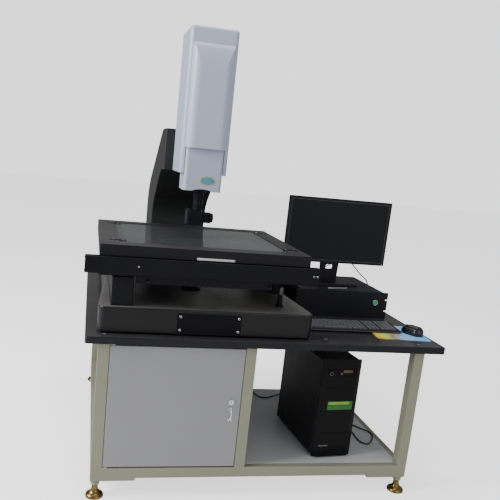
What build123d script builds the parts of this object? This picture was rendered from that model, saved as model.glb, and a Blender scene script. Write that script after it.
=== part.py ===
from build123d import *
from math import atan2, degrees, pi, radians, tan
import os

# Vision measuring machine on its bench, with its computer and motion controller.
# The origin is on the floor, under the middle of the whole station's footprint.
# X runs along the bench, Y from its front to its back, and Z up.
# All sizes are in millimetres.

# Bench top and frame
bench_width = 1550.0
bench_depth = 1350.0
bench_height = 700.0
top_thickness = 30.0
top_corner_radius = 14.0
top_edge_round = 4.0
tube = 45.0
tube_wall = 2.5
leg_setback = 15.0
left_leg_inset = 53.0
right_leg_inset = 90.0
cabinet_opening = 557.0
foot_height = 76.0
foot_plate_thickness = 12.0
foot_sleeve_radius = 18.0
foot_sleeve_length = 20.0
foot_plate_length = 184.0
upper_rail_height = 20.0
shelf_depth = 870.0
shelf_thickness = 2.0
shelf_lap = 15.0
sheet = 1.5

# Levelling feet
foot_disc_radius = 37.0
foot_disc_rim = 7.0
foot_bell_height = 44.0
foot_bell_middle = (0.68, 0.42)
foot_neck_radius = 13.0
foot_stud_radius = 8.0
foot_stud_above = 18.0
stud_clearance = 0.4

# Cabinet door
door_thickness = 18.0
door_sheet = 2.0
door_side_gap = 2.0
door_bottom_gap = 5.0
door_top_gap = 9.0
pivot_inset = 14.0
pivot_setback = 6.0
pivot_radius = 4.0
pivot_bracket = 3.0
pivot_engagement = 6.0
door_edge_round = 3.0
lock_from_edge = 41.0
lock_below_top = 270.0
lock_radius = 9.0
lock_flange_radius = 11.5
lock_cam_length = 24.0
handle_length = 46.0
handle_reach = 22.0
handle_wire = 3.0
handle_below_lock = 33.0
handle_bend = 9.0
handle_boss_radius = 5.4
handle_boss = 2.5
lock_stands_out = 4.0
lock_flange = 2.0
lock_behind_door = 2.0
lock_nut_radius = 5.4
lock_nut = 7.0
keyway_width = 2.4
keyway_height = 10.0
keyway_depth = 8.0
cam_width = 14.0
cam_thickness = 3.0

# Machine base
machine_pad_height = 8.0
machine_pad_radius = 32.0
machine_pad_inset = 90.0
base_flare = 24.0
base_margin = 17.5
base_depth = 1276.0
base_height = 103.0
base_front_margin = 44.0
base_from_left = 493.0
base_flare_depth = 430.0
base_shoulder = 72.0
base_corner_radius = 26.0
base_edge_round = 9.0
access_plate_width = 266.0
access_plate_height = 80.0
access_plate_thickness = 3.0
access_plate_shift = 1.3
access_plate_drop = 6.0
access_plate_corner = 3.0
access_screw_inset = 12.0
access_screw_radius = 5.0
access_screw_head = 3.0

# Y guideways on the base
beam_width = 34.0
beam_height = 91.0
beam_back_clearance = 18.0
left_beam_front = 108.0
right_beam_front = 356.0
rail_width = 20.0
rail_height = 18.0
rail_end_margin = 3.0
block_length = 60.0
block_width = 44.0
block_height = 27.0
block_floor_gap = 3.0
slide_clearance = 0.3
drive_cover_width = 86.0
drive_cover_depth = 88.0
drive_cover_height = 117.0
drive_cover_wall = 2.0
drive_cover_setback = 18.0
y_screw_radius = 8.0
y_screw_offset = 38.0
y_screw_height = 57.0
y_nut_radius = 16.0
y_nut_length = 44.0
bearing_thickness = 20.0
bearing_width = 36.0
bearing_height = 76.0
screw_clearance = 0.05
beam_chamfer = 3.0
rail_waist = 0.12
rail_groove = (0.38, 0.48, 0.66, 0.76)
block_chamfer = 2.0
y_blocks_left = (390.0, 745.0)
y_blocks_right = (640.0, 745.0)
y_nut_from_front = 567.0
y_nut_neck_width = 20.0
y_nut_neck_lap = 8.0
drive_cover_corner = 6.0
drive_cover_rim = 3.0
y_motor_gap = 2.0
y_motor_foot = 12.0
motor_chamfer = 6.0
bearing_chamfer = 5.0
y_motor_side = 56.0
y_motor_length = 66.0
y_travel = 200.0

# Saddle, X drive bar and X guideways
saddle_bracket_reach = 49.0
saddle_bracket_lap = 4.0
saddle_bracket_depth = 60.0
saddle_bracket_drop = 10.0
saddle_corner = 8.0
apron_setback = 2.0
saddle_width = 810.0
saddle_depth = 715.0
saddle_thickness = 30.0
saddle_window_width = 130.0
saddle_window_margin = 65.0
apron_width = 560.0
apron_depth = 28.0
apron_height = 29.0
bar_length = 950.0
bar_depth = 35.0
bar_height = 66.0
bar_wall = 3.0
bar_front_margin = 25.0
bar_lift = 13.0
bar_end_cap = 4.0
bar_slot_height = 16.0
bar_edge_round = 2.5
bar_stop_up = 0.83
bar_screw_radius = 3.5
bar_screw_head = 2.0
bar_screws_from_left = (206.0, 925.0, 940.0)
bar_stop_radius = 5.0
bar_stop_length = 8.0
x_rail_inset_front = 45.0
x_rail_inset_back = 40.0
x_block_pitch = 236.0
x_screw_radius = 7.0
x_nut_radius = 12.5
x_nut_length = 44.0
x_bearing_thickness = 8.0
x_motor_radius = 13.0
x_motor_length = 64.0
x_arm_width = 50.0
x_arm_thickness = 10.0
x_travel = 250.0
x_arm_clearance = 6.0
x_arm_lap = 4.0
x_arm_behind = 14.0
x_arm_rise_thickness = 8.0
x_arm_front_lap = 6.0
x_bearing_gap = 3.0
x_motor_gap = 2.0

# Stage
stage_from_left = 466.0
stage_width = 859.0
stage_depth = 749.0
stage_thickness = 44.0
stage_front_margin = 40.0
stage_corner_radius = 9.0
stage_edge_round = 2.0
stage_riser = 22.0
window_width = 650.0
window_depth = 550.0
glass_width = 700.0
glass_depth = 600.0
glass_thickness = 8.0
glass_recess = 10.0
glass_clearance = 0.5
glass_corner = 2.0
window_corner = 20.0

# Contour light under the stage
light_post_radius = 28.0
light_head_radius = 45.0
light_head_height = 60.0
light_top_gap = 14.0
light_flange = 12.0
light_head_round = 3.0
light_lens_radius = 27.0
light_lens_depth = 6.0

# Column
column_width = 290.0
column_thickness = 300.0
column_front_from_bench = 1003.0
column_wall = 22.0
neck_start = 329.0
arm_underside = 521.0
arm_height = 188.0
arm_front_from_bench = 600.0
arm_slope_start = 263.0
arm_rise = 8.0
back_slope_start = 160.0
back_slope_end = 399.0
throat_low_round = 150.0
throat_high_round = 90.0
crown_round = 70.0
back_round = 210.0
column_rim = 5.0

# Measuring head
head_width = 210.0
head_depth = 250.0
head_height = 610.0
head_wall = 4.0
head_round = 18.0
head_top_round = 14.0
head_bottom_above_base = 529.0
cover_width = 180.0
cover_depth = 36.0
cover_height = 434.0
cover_above_head_bottom = 110.0
cover_wall = 3.0
cover_side_bevel = 38.0
cover_top_bevel = 95.0
cover_corner = 14.0
head_mouth_margin = 4.0

# Z guide and drive inside the head
z_plate_width = 120.0
z_plate_thickness = 20.0
z_plate_height = 510.0
z_plate_up = 10.0
z_rail_size = 15.0
z_rail_pitch = 80.0
z_rail_margin = 5.0
z_block_length = 58.0
z_block_width = 34.0
z_block_depth = 24.0
z_screw_radius = 6.0
z_screw_offset = 13.0
z_nut_width = 26.0
z_nut_length = 30.0
z_bearing_width = 36.0
z_bearing_depth = 25.0
z_bearing_height = 12.0
z_motor_side = 56.0
z_motor_length = 70.0
z_motor_gap = 2.0
z_nut_behind_screw = 11.0
z_carriage_width = 114.0
z_carriage_thickness = 12.0
z_carriage_height = 160.0
z_carriage_up = 60.0
z_carriage_drop = 80.0
shroud_stay_thickness = 8.0

# Optics on the Z slide
lens_from_front = 414.0
shroud_width = 167.0
shroud_height = 233.0
shroud_wall = 3.0
shroud_round = 14.0
shroud_before_head = 12.0
shroud_reach_back = 120.0
shroud_drop = 73.0
shroud_arch_width = 96.0
shroud_arch_height = 9.0
lens_radius = 25.0
lens_length = 262.0
lens_above_glass = 122.0
lens_nose_radius = 21.0
lens_nose_length = 144.0
lens_nose_setback = 2.0
lens_knurl_radius = 29.0
lens_knurl_length = 14.0
camera_side = 50.0
camera_height = 58.0
camera_corner = 3.0
clamp_radius = 38.0
clamp_height = 30.0
clamp_arm_width = 60.0
light_housing_side = 76.0
light_housing_height = 64.0
light_housing_offset = -12.0
light_housing_round = 10.0
light_housing_rim = 4.0
light_cone_spread = 4.0
light_cone_height = 10.0
working_distance = 58.0
side_light_length = 46.0
side_light_height = 46.0
side_light_depth = 40.0
side_light_up = 9.0
side_light_corner = 4.0
side_light_cap = 12.0
side_light_cap_inset = 2.0

# Motion controller
controller_panel_width = 482.6
controller_panel_height = 132.5
controller_panel_thickness = 4.0
controller_case_width = 440.0
controller_case_depth = 370.0
controller_case_height = 129.0
controller_foot_height = 3.0
controller_foot_radius = 9.0
controller_from_left = 1238.0
controller_front = 452.0
ear_slot_width = 9.0
ear_slot_height = 6.8
ear_slot_inset = 8.0
ear_slot_pitch = 57.0
button_from_right = 68.0
button_up = 82.0
button_radius = 11.0
button_ring_radius = 14.0
button_ring_thickness = 3.0
button_height = 5.0
button_stroke = 2.0
button_clearance = 0.08
button_cup_depth = 10.0
button_cup_wall = 2.0
button_rim = 1.0
button_well_behind = 6.0
controller_foot_inset = 30.0
controller_edge = 2.0
panel_gap = 0.4

# Monitor
monitor_width = 540.0
monitor_height = 322.0
monitor_thickness = 18.0
monitor_back_width = 300.0
monitor_back_height = 190.0
monitor_back_depth = 26.0
monitor_front = 556.0
monitor_bottom_above_base = 118.0
monitor_bezel = 14.0
monitor_screen_depth = 2.0
monitor_screen_recess = 2.0
monitor_corner = 5.0
monitor_back_edge = 4.0
monitor_bulge_corner = 20.0
monitor_bulge_edge = 10.0
monitor_hinge_share = 0.42
hinge_behind_bulge = 6.0
tongue_share = 0.7
monitor_from_left = 1212.0
stand_base_width = 300.0
stand_base_depth = 200.0
stand_base_thickness = 12.0
stand_base_front = 552.0
stand_base_corner = 22.0
stand_base_rim = 5.0
neck_width = 112.0
neck_foot_width = 92.0
neck_corner = 5.0
neck_hole_round = 8.0
neck_hole_up = 3.2
neck_thickness = 16.0
neck_hole_width = 40.0
neck_hole_height = 24.0
hinge_radius = 10.0
hinge_pin_radius = 4.0
hinge_ear = 12.0

# Keyboard, mouse and mouse pad
keyboard_width = 460.0
keyboard_depth = 135.0
keyboard_front_height = 9.0
keyboard_back_height = 17.0
keyboard_lift = 4.0
keyboard_from_left = 1198.0
keyboard_front = 182.0
key_pitch = 19.05
key_size = 15.6
key_height = 5.0
key_well_depth = 3.0
keyboard_edge = 3.0
keyboard_margin = 12.0
keyboard_foot_inset_x = 40.0
keyboard_foot_inset_y = 14.0
keyboard_foot_width = 30.0
keyboard_foot_depth = 10.0
key_field_margin = 16.0
key_field_front = 14.0
key_row_pitch = 18.67
pad_width = 250.0
pad_depth = 224.0
pad_thickness = 3.0
pad_corner_from_left = 1277.0
pad_corner_front = 104.0
pad_turn = -5.0
pad_corner = 8.0
mouse_length = 106.0
mouse_width = 60.0
mouse_height = 40.0
mouse_from_left = 1484.0
mouse_front = 186.0
mouse_turn = 32.0
mouse_round = 4.5
mouse_sections = ((0.0, 0.0, 0.97, 0.94), (0.38, 0.0, 1.0, 1.0), (0.72, 0.03, 0.88, 0.88), (1.0, 0.07, 0.6, 0.6))
wheel_radius = 10.0
wheel_width = 7.0
wheel_up = 30.5
wheel_axle_radius = 2.0
wheel_axle_end_gap = 0.5
wheel_post_thickness = 1.6
wheel_post_half = 4.0
wheel_post_gap = 0.9
wheel_forward = 28.6
wheel_rim = 1.5
wheel_side_gap = 0.6
wheel_end_gap = 1.2
button_split_y = 6.4
button_split_z = 17.0
button_gap = 0.4
button_back_gap = 0.6
button_travel_gap = 2.0

# Tower computer
tower_width = 190.0
tower_depth = 430.0
tower_headroom = 74.0
tower_wall = 1.0
tower_foot_height = 9.0
tower_front_thickness = 14.0
tower_from_left = 1125.0
tower_front = 92.0
tower_turn = 5.0
tower_bevel = 22.0
tower_bevel_depth = 9.0
tower_edge_round = 3.0
tower_case_inset = 2.0
tower_case_round = 3.0
tower_foot_radius = 14.0
tower_foot_inset_x = 28.0
tower_foot_inset_y = 45.0
tower_bay_top = 40.0
tower_bay_height = 34.0
tower_bay_width = 137.0
tower_groove = 3.0
tower_groove_depth = 2.0
tower_groove_below_top = 128.0
tower_button_from_middle = -52.0
tower_button_below_top = 63.0
tower_button_radius = 5.5
tower_button_well = 8.0
tower_button_sunk = 1.0

# Loose cords
cord_diameter = 6.0
thin_cord_diameter = 5.0
relief_radius = 7.0
relief_length = 12.0
power_relief_from_middle = 85.0
signal_relief_from_middle = 66.0
power_socket_from_left = 1398.0
power_socket_up = 52.0
signal_socket_from_left = 1093.0
signal_socket_up = 58.0
tower_socket_from_middle = 40.0
tower_socket_up = 90.0
plug_length = 42.0
plug_width = 34.0
plug_height = 24.0
plug_pin_radius = 2.4
plug_pin_length = 19.0
plug_pin_pitch = 19.0
plug_from_left = 966.0
plug_from_front = 1046.0
plug_collar = (14.0, 14.0, 4.0)
plug_waist = (18.0, 16.0, 5.0)
plug_waist_share = 0.35
plug_corner = 8.0

# Places that the sizes above settle
bar_overhang = bar_length / 2 - stage_from_left + 7.0
bench_left = bar_overhang - (bench_width + bar_overhang) / 2
bench_right = bench_left + bench_width
handle_overhang = handle_reach + handle_wire - leg_setback
bench_front = handle_overhang - (bench_depth + handle_overhang) / 2
bench_back = bench_front + bench_depth
top_under = bench_height - top_thickness
frame_bottom = foot_height + foot_plate_thickness
rail_top = frame_bottom + tube
frame_front = bench_front + leg_setback
frame_back = bench_back - leg_setback
left_leg_x = bench_left + left_leg_inset
middle_leg_x = left_leg_x + tube + cabinet_opening
right_leg_x = bench_right - right_leg_inset - tube
cross_rail_back = frame_front + shelf_depth
cross_rail_front = cross_rail_back - tube

beam_pitch = saddle_width - block_width
base_back_width = saddle_width + 2 * base_margin
base_front_width = base_back_width + 2 * base_flare
base_x = bench_left + base_from_left
base_front = bench_front + base_front_margin
base_back = base_front + base_depth
base_bottom = bench_height + machine_pad_height
deck = base_bottom + base_height
column_front = bench_front + column_front_from_bench
beam_back = column_front - beam_back_clearance
beam_top = deck + beam_height
left_beam_x = base_x - beam_pitch / 2
right_beam_x = base_x + beam_pitch / 2
saddle_bottom = beam_top + block_height + block_floor_gap
saddle_top = saddle_bottom + saddle_thickness
bar_front = bench_front + bar_front_margin
saddle_front = bar_front + bar_depth
saddle_back = saddle_front + saddle_depth
bar_bottom = saddle_bottom + bar_lift
bar_top = bar_bottom + bar_height
bar_left = bench_left - bar_overhang
bar_right = bar_left + bar_length
optic_x = bench_left + stage_from_left
stage_front = bench_front + stage_front_margin
stage_back = stage_front + stage_depth
stage_y = (stage_front + stage_back) / 2
stage_bottom = saddle_top + block_height + block_floor_gap + stage_riser
stage_top = stage_bottom + stage_thickness
glass_bottom = stage_top - glass_recess
glass_top = glass_bottom + glass_thickness
optic_y = bench_front + lens_from_front
lens_bottom = glass_top + working_distance

x_screw_y = bar_front + bar_depth / 2
x_screw_z = bar_bottom + bar_height / 2
y_screw_x = left_beam_x + y_screw_offset
y_screw_z = deck + y_screw_height
cover_box_front = base_front + drive_cover_setback
cover_box_back = cover_box_front + drive_cover_depth

arm_front = bench_front + arm_front_from_bench
arm_bottom = deck + arm_underside
arm_top = arm_bottom + arm_rise + arm_height
head_bottom = deck + head_bottom_above_base
head_top = head_bottom + head_height
head_back = arm_front
head_front = head_back - head_depth
cover_front = head_front - cover_depth
cover_bottom = head_bottom + cover_above_head_bottom
cover_top = cover_bottom + cover_height
z_plate_back = head_back - head_wall
z_plate_front = z_plate_back - z_plate_thickness
z_plate_bottom = head_bottom + z_plate_up
z_plate_top = z_plate_bottom + z_plate_height
z_rail_front = z_plate_front - z_rail_size
z_screw_y = z_plate_front - z_screw_offset
z_carriage_back = z_rail_front - z_block_depth / 2
z_carriage_bottom = head_bottom + z_carriage_up


def block(x0, x1, y0, y1, z0, z1):
    """Returns a box between two corners."""
    middle = ((x0 + x1) / 2, (y0 + y1) / 2, (z0 + z1) / 2)
    return Pos(*middle) * Box(x1 - x0, y1 - y0, z1 - z0)


def square_tube(x0, x1, y0, y1, z0, z1, along):
    """Returns a square steel tube between two corners, open at both ends."""
    outer = block(x0, x1, y0, y1, z0, z1)
    w = {axis: 0.0 if axis == along else tube_wall for axis in "XYZ"}
    inner = block(x0 + w["X"], x1 - w["X"], y0 + w["Y"], y1 - w["Y"], z0 + w["Z"], z1 - w["Z"])
    return outer - inner


def rod_x(radius, x0, x1, y, z):
    """Returns a round bar along X."""
    return Pos((x0 + x1) / 2, y, z) * Rot(0, 90, 0) * Cylinder(radius, x1 - x0)


def rod_y(radius, x, y0, y1, z):
    """Returns a round bar along Y."""
    return Pos(x, (y0 + y1) / 2, z) * Rot(90, 0, 0) * Cylinder(radius, y1 - y0)


def rod_z(radius, x, y, z0, z1):
    """Returns a round bar along Z."""
    return Pos(x, y, (z0 + z1) / 2) * Cylinder(radius, z1 - z0)


def save(node, *solids):
    """Writes one sub-part, made of one or more solids, as a STEP file."""
    shape = solids[0] if len(solids) == 1 else Compound(children=list(solids))
    shape.label = node
    export_step(shape, os.path.join("parts", node + ".step"))


def rounded_box(x0, x1, y0, y1, z0, z1, corner, edge=0.0):
    """Returns a box with round upright corners and, where asked, a round top rim."""
    body = block(x0, x1, y0, y1, z0, z1)
    body = fillet(body.edges().filter_by(Axis.Z), corner)
    if edge > 0:
        body = fillet(body.faces().sort_by(Axis.Z)[-1].edges(), edge)
    return body


def make_bench_top():
    top = rounded_box(bench_left, bench_right, bench_front, bench_back, top_under, bench_height,
                      top_corner_radius, top_edge_round)
    save("bench_top", top)


def make_legs():
    legs = []
    back_y = frame_back - tube
    for x in (left_leg_x, right_leg_x):
        legs.append(square_tube(x, x + tube, frame_front, frame_front + tube, frame_bottom, top_under, "Z"))
        legs.append(square_tube(x, x + tube, back_y, frame_back, frame_bottom, top_under, "Z"))
    legs.append(square_tube(middle_leg_x, middle_leg_x + tube, frame_front, frame_front + tube,
                            rail_top, top_under, "Z"))
    save("bench_legs", *legs)


def make_lower_rails():
    left_in = left_leg_x + tube
    rails = [square_tube(left_in, right_leg_x, frame_front, frame_front + tube, frame_bottom, rail_top, "X")]
    side_front = frame_front + tube
    side_back = frame_back - tube
    for x in (left_leg_x, right_leg_x):
        rails.append(square_tube(x, x + tube, side_front, side_back, frame_bottom, rail_top, "Y"))
    rails.append(square_tube(middle_leg_x, middle_leg_x + tube, side_front, cross_rail_front,
                             frame_bottom, rail_top, "Y"))
    rails.append(square_tube(left_in, right_leg_x, cross_rail_front, cross_rail_back,
                             frame_bottom, rail_top, "X"))
    save("lower_rails", *rails, *foot_plates())


def foot_plates():
    """Plates under the corners, along the front rail and along the side rails behind, each with a foot's sleeve."""
    plates = []
    sleeve_low = foot_height - foot_sleeve_length
    half = tube / 2
    for x, inward in ((left_leg_x, 1), (right_leg_x + tube, -1)):
        x0, x1 = sorted((x, x + inward * foot_plate_length))
        leg_x = x + inward * half
        front_y = frame_front + half
        back_y = frame_back - half
        front = block(x0, x1, frame_front, frame_front + tube, foot_height, frame_bottom)
        back = block(leg_x - half, leg_x + half, frame_back - foot_plate_length, frame_back, foot_height,
                     frame_bottom)
        for plate, y in ((front, front_y), (back, back_y)):
            plate += rod_z(foot_sleeve_radius, leg_x, y, sleeve_low, foot_height)
            plates.append(plate - rod_z(foot_stud_radius + stud_clearance, leg_x, y, sleeve_low - 1,
                                        frame_bottom + 1))
    return plates


def make_upper_rails():
    rails = []
    low = top_under - upper_rail_height
    side_front = frame_front + tube
    back_y = frame_back - tube
    for x in (left_leg_x, right_leg_x):
        rails.append(square_tube(x, x + tube, side_front, back_y, low, top_under, "Y"))
    rails.append(square_tube(middle_leg_x, middle_leg_x + tube, side_front, back_y, low, top_under, "Y"))
    rails.append(square_tube(left_leg_x + tube, right_leg_x, back_y, frame_back, low, top_under, "X"))
    header_back = frame_front + tube
    rails.append(square_tube(left_leg_x + tube, middle_leg_x, header_back - upper_rail_height, header_back,
                             low, top_under, "X"))
    save("upper_rails", *rails)


def make_levelling_feet():
    """Bell feet: a flared disc, a neck that meets the frame's sleeve and a stud that goes up through it."""
    shoulder = foot_height - foot_sleeve_length
    stud_top = frame_bottom + foot_stud_above
    across, up = foot_bell_middle
    under = Polyline((0, 0), (foot_disc_radius, 0), (foot_disc_radius, foot_disc_rim))
    bell = Spline((foot_disc_radius, foot_disc_rim), (foot_disc_radius * across, foot_bell_height * up),
                  (foot_neck_radius, foot_bell_height), tangents=((-0.25, 1), (0, 1)))
    stem = Polyline((foot_neck_radius, foot_bell_height), (foot_neck_radius, shoulder),
                    (foot_stud_radius, shoulder), (foot_stud_radius, stud_top), (0, stud_top), (0, 0))
    face = Plane.XZ * make_face(under.edges() + bell.edges() + stem.edges())
    foot = revolve(face, Axis.Z)
    feet = []
    for x in (left_leg_x + tube / 2, right_leg_x + tube / 2):
        for y in (frame_front + tube / 2, frame_back - tube / 2):
            feet.append(Pos(x, y, 0) * foot)
    save("levelling_feet", *feet)


def make_shelf():
    x0 = middle_leg_x + tube - shelf_lap
    x1 = right_leg_x + shelf_lap
    y0 = frame_front + tube - shelf_lap
    tray = block(x0, x1, y0, cross_rail_back, rail_top, rail_top + shelf_thickness)
    notch = shelf_lap + slide_clearance
    for x in (x0, x1):
        tray -= block(x - notch, x + notch, y0 - notch, y0 + notch, rail_top - 1, rail_top + shelf_thickness + 1)
    save("shelf", tray)


def make_cabinet_panels():
    low = rail_top
    high = top_under - upper_rail_height
    y0 = frame_front + tube
    y1 = cross_rail_back
    left_x = left_leg_x + tube / 2
    right_x = middle_leg_x + tube / 2 - shelf_lap
    floor_z = low + shelf_thickness
    side = block(left_x, left_x + sheet, y0, y1, low, high)
    partition = block(right_x, right_x + sheet, y0, y1, low, high)
    back = block(left_x + sheet, right_x, y1 - sheet, y1, low, high)
    floor = block(left_x + sheet, right_x, y0, y1 - sheet, low, floor_z)
    save("cabinet_panels", side, partition, back, floor)


door_left = left_leg_x + tube + door_side_gap
door_right = middle_leg_x - door_side_gap
door_bottom = rail_top + door_bottom_gap
door_top = top_under - door_top_gap
pivot_x = door_left + pivot_inset
pivot_y = frame_front + pivot_setback
lock_x = door_right - lock_from_edge
lock_z = bench_height - lock_below_top


def make_door():
    back_y = frame_front + door_thickness
    door = block(door_left, door_right, frame_front, back_y, door_bottom, door_top)
    door = fillet(door.faces().sort_by(Axis.Y)[0].edges(), door_edge_round)
    door -= block(door_left + door_sheet, door_right - door_sheet, frame_front + door_sheet, back_y + 1,
                  door_bottom + door_sheet, door_top - door_sheet)
    door -= rod_z(pivot_radius + screw_clearance, pivot_x, pivot_y, door_bottom - 1, door_top + 1)
    door -= rod_y(lock_radius + screw_clearance, lock_x, frame_front - 1, back_y, lock_z)
    save("cabinet_door", door)


def make_door_pivots():
    pieces = []
    reach = pivot_x + pivot_inset / 2
    for z, up in ((rail_top, 1), (top_under - upper_rail_height, -1)):
        tab_z0 = z if up > 0 else door_top + door_top_gap / 3
        tab_z1 = tab_z0 + pivot_bracket
        tab = block(left_leg_x + tube, reach, frame_front, frame_front + 2 * pivot_setback, tab_z0, tab_z1)
        pin_end = door_bottom + pivot_engagement if up > 0 else door_top - pivot_engagement
        z0, z1 = sorted((pin_end, tab_z0 if up > 0 else tab_z1))
        pieces.append(tab + rod_z(pivot_radius, pivot_x, pivot_y, z0, z1))
    save("door_pivots", *pieces)


def make_door_handle():
    top_z = lock_z - handle_below_lock
    low_z = top_z - handle_length
    face_y = frame_front
    out_y = face_y - handle_reach
    path = FilletPolyline((lock_x, face_y, top_z), (lock_x, out_y, top_z), (lock_x, out_y, low_z),
                          (lock_x, face_y, low_z), radius=handle_bend)
    section = Plane(origin=path @ 0, z_dir=path % 0) * Circle(handle_wire)
    bow = sweep(section, path=path)
    for z in (top_z, low_z):
        bow += rod_y(handle_boss_radius, lock_x, face_y - handle_boss, face_y, z)
    save("door_handle", bow)


def make_door_lock():
    """Lock barrel through the door, with its flange, keyway, cam and nut."""
    out_y = frame_front - lock_stands_out
    in_y = frame_front + door_thickness + lock_behind_door
    half_cam = cam_width / 2
    lock = rod_y(lock_radius, lock_x, out_y, in_y, lock_z)
    lock += rod_y(lock_flange_radius, lock_x, out_y - lock_flange, frame_front - slide_clearance, lock_z)
    lock -= block(lock_x - keyway_width / 2, lock_x + keyway_width / 2, out_y - lock_flange - 1,
                  out_y - lock_flange + keyway_depth, lock_z - keyway_height / 2, lock_z + keyway_height / 2)
    lock += block(lock_x - half_cam, lock_x + half_cam, in_y, in_y + cam_thickness, lock_z - lock_cam_length,
                  lock_z + half_cam)
    lock += rod_y(lock_nut_radius, lock_x, in_y, in_y + lock_nut, lock_z)
    save("door_lock", lock)


def base_outline():
    """Plan of the machine base: flared at the front, parallel behind."""
    half_front = base_front_width / 2
    half_back = base_back_width / 2
    shoulder = base_front + base_shoulder
    flare_end = base_front + base_flare_depth
    points = [(-half_front, base_front), (half_front, base_front), (half_front, shoulder),
              (half_back, flare_end), (half_back, base_back), (-half_back, base_back),
              (-half_back, flare_end), (-half_front, shoulder)]
    return Polygon(*points, align=None)


def make_machine_base():
    body = extrude(base_outline(), base_height)
    upright = body.edges().filter_by(Axis.Z)
    front_corners = upright.sort_by(Axis.Y)[:2]
    back_corners = upright.sort_by(Axis.Y)[-2:]
    body = fillet(front_corners + back_corners, base_corner_radius)
    body = fillet(body.faces().sort_by(Axis.Z)[-1].edges(), base_edge_round)
    save("machine_base", Pos(base_x, 0, base_bottom) * body)


def make_base_pads():
    pads = []
    half = base_back_width / 2 - machine_pad_inset
    ys = (base_front + machine_pad_inset, (base_front + base_back) / 2, base_back - machine_pad_inset)
    for x in (base_x - half, base_x + half):
        for y in ys:
            pads.append(rod_z(machine_pad_radius, x, y, bench_height, base_bottom))
    save("base_pads", *pads)


def make_access_plate():
    x0 = base_x - access_plate_width / 2 + access_plate_shift
    x1 = x0 + access_plate_width
    z0 = base_bottom + (base_height - access_plate_height) / 2 - access_plate_drop
    z1 = z0 + access_plate_height
    y0 = base_front - access_plate_thickness
    plate = block(x0, x1, y0, base_front, z0, z1)
    plate = fillet(plate.edges().filter_by(Axis.Y), access_plate_corner)
    screws = []
    for x in (x0 + access_screw_inset, x1 - access_screw_inset):
        for z in (z0 + access_screw_inset, z1 - access_screw_inset):
            head = rod_y(access_screw_radius, x, y0 - access_screw_head, y0, z)
            head -= rod_y(access_screw_radius / 2, x, y0 - access_screw_head - 1, y0 - access_screw_head / 2, z)
            screws.append(head)
    save("access_plate", plate, *screws)


def make_y_beams():
    beams = []
    for x, front in ((left_beam_x, left_beam_front), (right_beam_x, right_beam_front)):
        half = beam_width / 2
        beam = block(x - half, x + half, base_front + front, beam_back, deck, beam_top)
        beams.append(chamfer(beam.faces().sort_by(Axis.Z)[-1].edges().filter_by(Axis.Y), beam_chamfer))
    save("y_beams", *beams)


def rail_profile(width, height):
    """Section of a profile rail with its two ball grooves, standing on the origin."""
    half = width / 2
    waist = half - width * rail_waist
    lip_low, groove_low, groove_high, lip_high = [height * share for share in rail_groove]
    right = [(half, 0), (half, lip_low), (waist, groove_low), (waist, groove_high), (half, lip_high), (half, height)]
    left = [(-x, z) for x, z in reversed(right)]
    return Polygon(*right, *left, align=None)


def make_y_rails():
    rails = []
    section = rail_profile(rail_width, rail_height)
    for x, front in ((left_beam_x, left_beam_front), (right_beam_x, right_beam_front)):
        y0 = base_front + front + rail_end_margin
        length = beam_back - rail_end_margin - y0
        plane = Plane(origin=(x, y0 + length, beam_top), x_dir=(1, 0, 0), z_dir=(0, -1, 0))
        rails.append(extrude(plane * section, length))
    save("y_rails", *rails)


def carriage_block(length, width, height, gap_floor, rail_w, rail_h):
    """Carriage that straddles a rail along Y, standing on the rail's foot plane."""
    body = block(-width / 2, width / 2, -length / 2, length / 2, gap_floor, gap_floor + height)
    body = chamfer(body.edges().filter_by(Axis.Y), block_chamfer)
    slot = rail_w / 2 + slide_clearance
    body -= block(-slot, slot, -length / 2 - 1, length / 2 + 1, gap_floor - 1, rail_h + slide_clearance)
    return body


def make_y_carriages():
    pieces = []
    one = carriage_block(block_length, block_width, block_height, block_floor_gap, rail_width, rail_height)
    for x, places in ((left_beam_x, y_blocks_left), (right_beam_x, y_blocks_right)):
        for y in places:
            pieces.append(Pos(x, bench_front + y, beam_top) * one)
    nut_y = bench_front + y_nut_from_front
    half = y_nut_length / 2
    nut = rod_y(y_nut_radius, y_screw_x, nut_y - half, nut_y + half, y_screw_z)
    neck = y_nut_neck_width / 2
    nut += block(y_screw_x - neck, y_screw_x + neck, nut_y - half, nut_y + half, y_screw_z + y_nut_neck_lap,
                 saddle_bottom)
    nut -= rod_y(y_screw_radius + screw_clearance, y_screw_x, nut_y - half - 1, nut_y + half + 1, y_screw_z)
    pieces.append(nut)
    save("y_carriages", *pieces)


def make_y_drive_cover():
    x0 = left_beam_x - beam_width / 2
    x1 = x0 + drive_cover_width
    w = drive_cover_wall
    top = deck + drive_cover_height
    cover = block(x0, x1, cover_box_front, cover_box_back, deck, top)
    cover = fillet(cover.edges().filter_by(Axis.Z).sort_by(Axis.Y)[:2], drive_cover_corner)
    cover = fillet(cover.faces().sort_by(Axis.Z)[-1].edges(), drive_cover_rim)
    cover -= block(x0 + w, x1 - w, cover_box_front + w, cover_box_back + 1, deck - 1, top - w)
    save("y_drive_cover", cover)


y_motor_face = cover_box_back - y_motor_gap
y_bearing_front = cover_box_back + y_motor_gap
y_bearing_back = beam_back - bearing_thickness


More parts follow.
